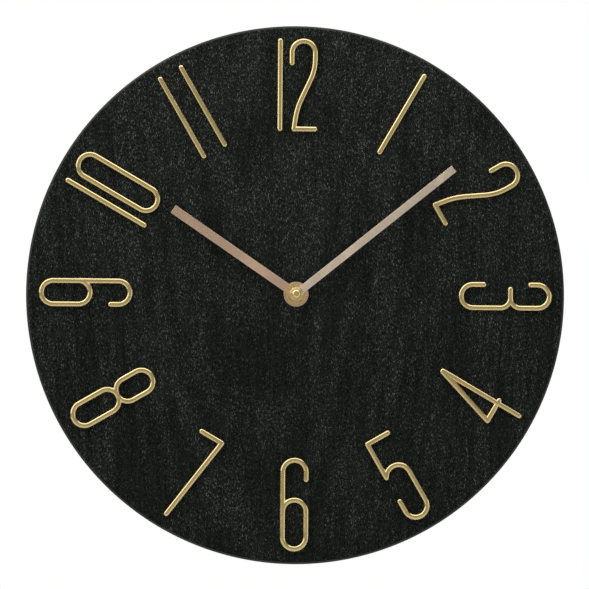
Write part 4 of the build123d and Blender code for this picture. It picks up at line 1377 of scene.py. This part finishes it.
def make_cover(edge):
    """The movement's back cover, with the marks that are moulded into it."""
    back = depths("movement_back_cover")[0]
    low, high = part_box("movement_back_cover")
    left, right, bottom, top = (side / MM for side in (low.x, high.x, low.z, high.z))
    knob_at = across_and_up("setting_knob")
    ring = width_and_height("setting_knob")[1] / 2 + KNOB_RING_GAP

    def mark(outline):
        return plate(outline, back - CUT_SPARE, back + MARK_DEPTH)

    cutters = [ring_cutter(ring, KNOB_RING_WIDTH, back, MARK_DEPTH, knob_at),
               mark(rectangle(*LABEL_SIZE, LABEL_CORNER, LABEL_AT))]
    for order, bearing in enumerate(ARROW_BEARINGS):
        turn = math.radians(bearing)
        at = knob_at + (ring + KNOB_RING_WIDTH + ARROW_SIZE) * Vector((math.cos(turn),
                                                                       math.sin(turn)))
        heading = turn + (-1 if order == 0 else 1) * math.pi / 2
        cutters.append(mark([(at.x + ARROW_SIZE * math.cos(heading + corner),
                              at.y + ARROW_SIZE * math.sin(heading + corner))
                             for corner in (0, 2 * math.pi / 3, 4 * math.pi / 3)]))
    for x in (left + PIN_MARK_INSET, right - PIN_MARK_INSET):
        cutters.append(mark(circle_points(PIN_MARK_RADIUS, 48, (x, top - PIN_MARK_INSET))))
    sign_y = bottom + SIGN_INSET / 2 + SIGN_WIDTH
    plus, minus = (right - SIGN_INSET, sign_y), (left + SIGN_INSET, sign_y)
    cutters += [mark(rectangle(SIGN_LENGTH, SIGN_WIDTH, SIGN_CORNER, plus)),
                mark(rectangle(SIGN_WIDTH, SIGN_LENGTH, SIGN_CORNER, plus)),
                mark(rectangle(SIGN_LENGTH, SIGN_WIDTH, SIGN_CORNER, minus))]
    return cut_from(softened("movement_back_cover", edge), *cutters)


KNOB_SLOT = (6.4, 1.1)     # length and width
KNOB_SLOT_CORNER = 0.4
KNOB_SLOT_DEPTH = 0.8
KNOB_DISH_RADIUS = 4.1
KNOB_DISH_DEPTH = 0.35
KNOB_EDGE = 0.1


def make_knob():
    """The setting knob, its face dished inside a rim and slotted for a coin."""
    back = depths("setting_knob")[0]
    at = across_and_up("setting_knob")
    dish = plate(circle_points(KNOB_DISH_RADIUS, 72, at), back - CUT_SPARE,
                 back + KNOB_DISH_DEPTH)
    slot = plate(rectangle(*KNOB_SLOT, KNOB_SLOT_CORNER, at), back - CUT_SPARE,
                 back + KNOB_SLOT_DEPTH)
    return cut_from(softened("setting_knob", KNOB_EDGE), dish, slot)


PLATE_EDGE = 0.12          # rounded off the hanger plate's edges
SCREW_HEAD_RADIUS = 2.75
SCREW_HEAD_SINK = 0.1      # of the head behind the plate's face
SCREW_POINT = 2.0          # length of the tapered tip
SCREW_CROSS = (3.4, 0.75)  # length and width of each slot of the cross
SCREW_CROSS_CORNER = 0.15
SCREW_CROSS_DEPTH = 0.8
SCREW_TURNS = ((1, 12.0), (-1, 38.0))    # above or below the middle, and degrees it is turned


def make_screws():
    """Two countersunk screws with crossed drives, the lower one turned a little further."""
    back, tip = depths("hanger_screws")
    back += SCREW_HEAD_SINK
    seat = depths("hanger_plate")[1]
    middle = across_and_up("hanger_plate").y
    screws = []
    for side, turn in SCREW_TURNS:
        body = turned([(0, back, 0), (SCREW_HEAD_RADIUS, back, 0.15), (SCREW_RADIUS, seat, 0.2),
                       (SCREW_RADIUS, tip - SCREW_POINT, 0.3), (0, tip, 0)], 64, steps=3)
        for quarter in (0.0, 90.0):
            cross = plate(rectangle(*SCREW_CROSS, SCREW_CROSS_CORNER), back - CUT_SPARE,
                          back + SCREW_CROSS_DEPTH)
            cross = moved(cross, Matrix.Rotation(math.radians(turn + quarter), 4, "Z"))
            body = cut_from(body, cross)
        screws.append(moved(body, Matrix.Translation((0, middle + side * SCREW_SPACING / 2, 0))))
    return shells(*screws)


JACKET_SHARE = 0.7         # of the cell's length, up to its band
CELL_NUB_RADIUS = 2.7
CELL_NUB_LENGTH = 1.0
CELL_RIM = 1.1             # width of the rolled rim at each end
CELL_DISH = 0.25           # depth of the base inside its rim
CELL_STEP = 0.2            # of the top inside its rim


def make_cell():
    """An AA cell along X: rounded shoulders, a nub at one end and a dished base."""
    low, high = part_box("battery")
    length = (high.x - low.x) / MM
    radius = (high.z - low.z) / 2 / MM
    body = length - CELL_NUB_LENGTH
    inside_rim = radius - CELL_RIM
    mesh = turned([
        (0, CELL_DISH, 0), (inside_rim - 0.6, CELL_DISH, 0.3), (inside_rim, 0, 0.2),
        (radius, 0, 0.35), (radius, body, 0.35), (inside_rim, body, 0.15),
        (inside_rim - 0.25, body - CELL_STEP, 0.15),
        (CELL_NUB_RADIUS + 0.35, body - CELL_STEP, 0.2), (CELL_NUB_RADIUS, body + 0.1, 0.1),
        (CELL_NUB_RADIUS, length, 0.25), (0, length, 0),
    ], 128, steps=5)
    middle_y = (low.z + high.z) / 2 / MM
    middle_z = -(low.y + high.y) / 2 / MM
    along_x = Matrix.Rotation(math.radians(90), 4, "Y")
    return moved(mesh, Matrix.Translation((low.x / MM, middle_y, middle_z)) @ along_x)


PAD_RADIUS = 6.0
PAD_DIMPLE = 0.25          # depth of the dimple in a pad's face


def make_pads():
    """Four wall pads, each with a soft edge and a shallow dimple where it meets the wall."""
    back, front = depths("wall_pads")
    offset = width_and_height("wall_pads")[0] / 2 - PAD_RADIUS
    floor = back + PAD_DIMPLE
    pads = []
    for x, y in ((-1, -1), (-1, 1), (1, -1), (1, 1)):
        pad = turned([(0, floor, 0), (PAD_RADIUS - 2.2, floor, 0.4), (PAD_RADIUS - 1.6, back, 0.3),
                      (PAD_RADIUS, back, 0.8), (PAD_RADIUS, front, 0.1), (0, front, 0)],
                     72, steps=4)
        pads.append(moved(pad, Matrix.Translation((x * offset, y * offset, 0))))
    return shells(*pads)


# ------------------------------------------------------------------ operators
class PieceOperator(bpy.types.Operator):
    """What the operators that make the clock's pieces share"""

    bl_options = {"REGISTER", "UNDO"}


class CLOCK_OT_board(PieceOperator):
    """Make the painted fibreboard disc"""

    bl_idname = "clock.board"
    bl_label = "Board"

    def execute(self, context):
        dial = context.scene.clock_dial
        piece("board_disc", make_board(dial), "clock_body", "black_board",
              board_material(dial), "dial_board")
        return {"FINISHED"}


class CLOCK_OT_film(PieceOperator):
    """Lay the embossed wood-grain film on the board"""

    bl_idname = "clock.film"
    bl_label = "Grain film"

    def execute(self, context):
        dial = context.scene.clock_dial
        film = piece("embossed_film", make_film(dial), "clock_body", "grain_film",
                     film_material(dial), "grain_film")
        note_grain(film.data)
        return {"FINISHED"}


class CLOCK_OT_numerals(PieceOperator):
    """Make the twelve plated bar numerals"""

    bl_idname = "clock.numerals"
    bl_label = "Numerals"

    def execute(self, context):
        numerals = context.scene.clock_numerals
        material = plated_material(numerals)
        for hour in range(1, 13):
            piece(f"bar_numeral_{hour}", make_numeral(hour, numerals), "clock_body",
                  "gold_plate", material, f"numeral_{hour}")
        return {"FINISHED"}


class CLOCK_OT_hands(PieceOperator):
    """Make the hour hand and the minute hand"""

    bl_idname = "clock.hands"
    bl_label = "Hands"

    def execute(self, context):
        hands = context.scene.clock_hands
        minute_angle = math.radians(6.0 * hands.shown_minute)
        hour_angle = math.radians(30.0 * hands.shown_hour) + minute_angle / 12
        mesh, _ = make_hand("hour_hand", hands.hour_length / MM, hands.hour_width / MM,
                            TUBE_RADIUS, hour_angle)
        # The hour hand's darker colour is painted shade over the same rose-gold sheet as the
        # minute hand.
        piece("stamped_hour_hand", mesh, "hour_group", "rose_gold",
              satin_material("satin_hour_hand", hands.hour_shaded_colour, hour_angle), "hour_hand")
        mesh, finish = make_hand("minute_hand", hands.minute_length / MM,
                                 hands.minute_width / MM, MINUTE_THREAD_RADIUS, minute_angle,
                                 HUB_RIDGES)
        hand = piece("stamped_minute_hand", mesh, "minute_group", "rose_gold",
                     satin_material("satin_minute_hand", hands.minute_colour, minute_angle),
                     "minute_hand")
        hand.data.materials.append(turned_brass_material("turned_hub", hands.hub_colour,
                                                         (0.26, 0.36)))
        hand.data.polygons.foreach_set("material_index", finish)
        return {"FINISHED"}


class CLOCK_OT_hand_nut(PieceOperator):
    """Make the domed hand nut"""

    bl_idname = "clock.hand_nut"
    bl_label = "Hand nut"

    def execute(self, context):
        colour = context.scene.clock_hands.nut_colour
        piece("domed_nut", make_nut(), "minute_group", "brass",
              turned_brass_material("turned_nut", colour, (0.2, 0.28)), "hand_nut")
        return {"FINISHED"}


class CLOCK_OT_bush_stack(PieceOperator):
    """Make the washer and nut that clamp the movement, and finish the bush and gasket"""

    bl_idname = "clock.bush_stack"
    bl_label = "Bush and nut"

    def execute(self, context):
        brass = plain_finish("brass")
        piece("chamfered_hex_nut", make_hex_nut(), "clock_body", "brass", brass, "bush_nut")
        piece("turned_washer", make_washer(), "clock_body", "brass", brass, "bush_washer")
        surface("threaded_bush", brass)
        surface("rubber_gasket", plain_finish("black_rubber"))
        return {"FINISHED"}


class CLOCK_OT_movement(PieceOperator):
    """Make the movement's case and cover, and finish what turns inside it"""

    bl_idname = "clock.movement"
    bl_label = "Movement"

    finishes = {
        "white_plastic": ("hour_wheel", "reduction_wheel", "third_wheel", "second_wheel",
                          "intermediate_wheel", "rotor_pinion", "coil_bobbin"),
        "brass": ("centre_wheel",),
        "steel": ("minute_arbor", "stator", "coil_core", "quartz_crystal",
                  "battery_contact_positive", "battery_contact_negative"),
        "black_plastic": ("middle_plate", "chip"),
        "magnet": ("rotor_magnet",),
    }

    def execute(self, context):
        edge = context.scene.clock_movement.edge_round / MM
        black = plain_finish("black_plastic")
        piece("moulded_case", softened("movement_front_case", edge), "clock_body",
              "black_plastic", black, "movement_front_case")
        piece("moulded_cover", make_cover(edge), "clock_body", "black_plastic", black,
              "movement_back_cover")
        piece("slotted_knob", make_knob(), "knob", "white_plastic",
              plain_finish("white_plastic"), "setting_knob")
        for finish, nodes in self.finishes.items():
            for node in nodes:
                surface(node, plain_finish(finish))
        surface("circuit_board", circuit_material())
        surface("coil_winding", winding_material())
        return {"FINISHED"}


class CLOCK_OT_cell(PieceOperator):
    """Make the AA cell"""

    bl_idname = "clock.cell"
    bl_label = "Battery cell"

    def execute(self, context):
        low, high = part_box("battery")
        split = low.x + (high.x - low.x) * JACKET_SHARE
        piece("aa_cell", make_cell(), "battery_cell", "battery_wrap",
              jacket_material(context.scene.clock_movement, split), "battery")
        return {"FINISHED"}


class CLOCK_OT_hanger(PieceOperator):
    """Make the keyhole plate and its two screws"""

    bl_idname = "clock.hanger"
    bl_label = "Hanger plate"

    def execute(self, context):
        piece("keyhole_plate", softened("hanger_plate", PLATE_EDGE), "clock_body", "steel",
              plain_finish("steel"), "hanger_plate")
        piece("countersunk_screws", make_screws(), "clock_body", "steel",
              plain_finish("dark_steel"), "hanger_screws")
        return {"FINISHED"}


class CLOCK_OT_pads(PieceOperator):
    """Make the four rubber wall pads"""

    bl_idname = "clock.pads"
    bl_label = "Wall pads"

    def execute(self, context):
        piece("rubber_pads", make_pads(), "clock_body", "black_rubber",
              plain_finish("black_rubber"), "wall_pads")
        return {"FINISHED"}


# Each soft light: where it hangs, its width and height, its power and its colour.
LIGHTS = {
    "window_left": ((-1.5, -0.75, 0.9), (1.5, 1.9), 17.0, (1.0, 0.985, 0.96)),
    "fill_right": ((1.5, -0.8, -0.1), (0.9, 1.3), 5.0, (0.97, 0.985, 1.0)),
    "overhead": ((0.0, -0.35, 0.78), (1.4, 0.6), 6.0, (1.0, 1.0, 1.0)),
    "back_wash": ((0.6, 1.6, 1.1), (1.4, 1.2), 15.0, (1.0, 1.0, 1.0)),
}


FLOOR_SIZE = 2600.0
FLOOR_BEHIND = 900.0       # how far the floor reaches behind the clock
FLOOR_THICKNESS = 30.0
FLOOR_CORNER = 60.0
FLOOR_EDGE = 8.0


class CLOCK_OT_stage(PieceOperator):
    """Set up the floor, the lights and the camera"""

    bl_idname = "clock.stage"
    bl_label = "Stage"

    def execute(self, context):
        scene = context.scene
        settings = scene.clock_stage
        self.lay_floor(settings)
        for name, light in LIGHTS.items():
            self.hang_light(name, *light)
        self.light_room(scene)
        self.set_camera(scene, settings)
        scene.view_settings.view_transform = "Standard"
        return {"FINISHED"}

    def lay_floor(self, settings):
        top = (cad_box[0].z - settings.floor_drop) / MM
        mesh = plate(rectangle(FLOOR_SIZE, FLOOR_SIZE, FLOOR_CORNER), top - FLOOR_THICKNESS, top,
                     FLOOR_EDGE)
        floor = fresh_object("studio_floor", mesh)
        mesh.transform(Matrix.Scale(MM, 4)
                       @ Matrix.Translation((0, FLOOR_BEHIND - FLOOR_SIZE / 2, 0)))
        mesh.materials.append(floor_material())

    def hang_light(self, name, place, size, power, colour):
        light = bpy.data.lights.new(name, "AREA")
        light.shape = "RECTANGLE"
        light.size, light.size_y = size
        light.energy = power
        light.color = colour
        lamp = fresh_object(name, light)
        lamp.location = place
        lamp.rotation_euler = (-Vector(place)).to_track_quat("-Z", "Y").to_euler()

    def light_room(self, scene):
        """A pale room that is darker to the sides than in front of the dial and behind it."""
        world = bpy.data.worlds.new("studio")
        world.use_nodes = True
        wires = Wiring(world.node_tree)
        background = world.node_tree.nodes["Background"]
        output = world.node_tree.nodes["World Output"]
        look = wires.node("ShaderNodeTexCoord").outputs["Generated"]
        facing = wires.math("ABSOLUTE",
                            wires.node("ShaderNodeSeparateXYZ", {"Vector": look}).outputs["Y"])
        room = wires.mix(wires.span(facing, 0.35, 0.8), (0.15, 0.15, 0.148, 1.0),
                         (0.38, 0.38, 0.375, 1.0))
        wires.feed(background.inputs["Color"], room)
        white = wires.node("ShaderNodeBackground", {"Color": (1, 1, 1, 1)})
        seen = wires.node("ShaderNodeLightPath").outputs["Is Camera Ray"]
        mixed = wires.node("ShaderNodeMixShader", {0: seen, 1: background.outputs[0],
                                                   2: white.outputs[0]})
        wires.feed(output.inputs["Surface"], mixed.outputs[0])
        scene.world = world

    def set_camera(self, scene, settings):
        camera = bpy.data.cameras.new("camera")
        camera.sensor_width = 36.0
        camera.lens = camera.sensor_width * settings.camera_distance / settings.framed_width
        rig = fresh_object("camera", camera)
        left, below = settings.camera_left, settings.camera_below
        back = Vector((-math.sin(left) * math.cos(below), -math.cos(left) * math.cos(below),
                       -math.sin(below)))
        target = Vector((settings.aim_right, -depths("dial_board")[1] * MM, settings.aim_up))
        rig.location = target + back * settings.camera_distance
        aim = (-back).to_track_quat("-Z", "Y").to_matrix().to_4x4()
        turn = aim @ Matrix.Rotation(settings.camera_roll, 4, "Z")
        rig.rotation_euler = turn.to_euler()
        scene.camera = rig


PIECE_OPERATORS = (
    CLOCK_OT_board, CLOCK_OT_film, CLOCK_OT_numerals, CLOCK_OT_hands, CLOCK_OT_hand_nut,
    CLOCK_OT_bush_stack, CLOCK_OT_movement, CLOCK_OT_cell, CLOCK_OT_hanger, CLOCK_OT_pads,
    CLOCK_OT_stage,
)


class CLOCK_PT_maker(bpy.types.Panel):
    """Lists the clock's pieces and its settings"""

    bl_idname = "CLOCK_PT_maker"
    bl_label = "Wall Clock"
    bl_space_type = "VIEW_3D"
    bl_region_type = "UI"
    bl_category = "Wall Clock"

    def draw(self, context):
        layout = self.layout
        for operator in PIECE_OPERATORS:
            layout.operator(operator.bl_idname)
        for name, group in SETTINGS.items():
            box = layout.box()
            settings = getattr(context.scene, name)
            for label in group.__annotations__:
                box.prop(settings, label)


CLASSES = (*SETTINGS.values(), *PIECE_OPERATORS, CLOCK_PT_maker)


def register():
    for item in CLASSES:
        bpy.utils.register_class(item)
    for name, group in SETTINGS.items():
        setattr(bpy.types.Scene, name, PointerProperty(type=group))


def unregister():
    for name in SETTINGS:
        delattr(bpy.types.Scene, name)
    for item in reversed(CLASSES):
        bpy.utils.unregister_class(item)


def main():
    register()
    for operator in PIECE_OPERATORS:
        name = operator.bl_idname.split(".")[1]
        getattr(bpy.ops.clock, name)()


if __name__ == "__main__":
    main()
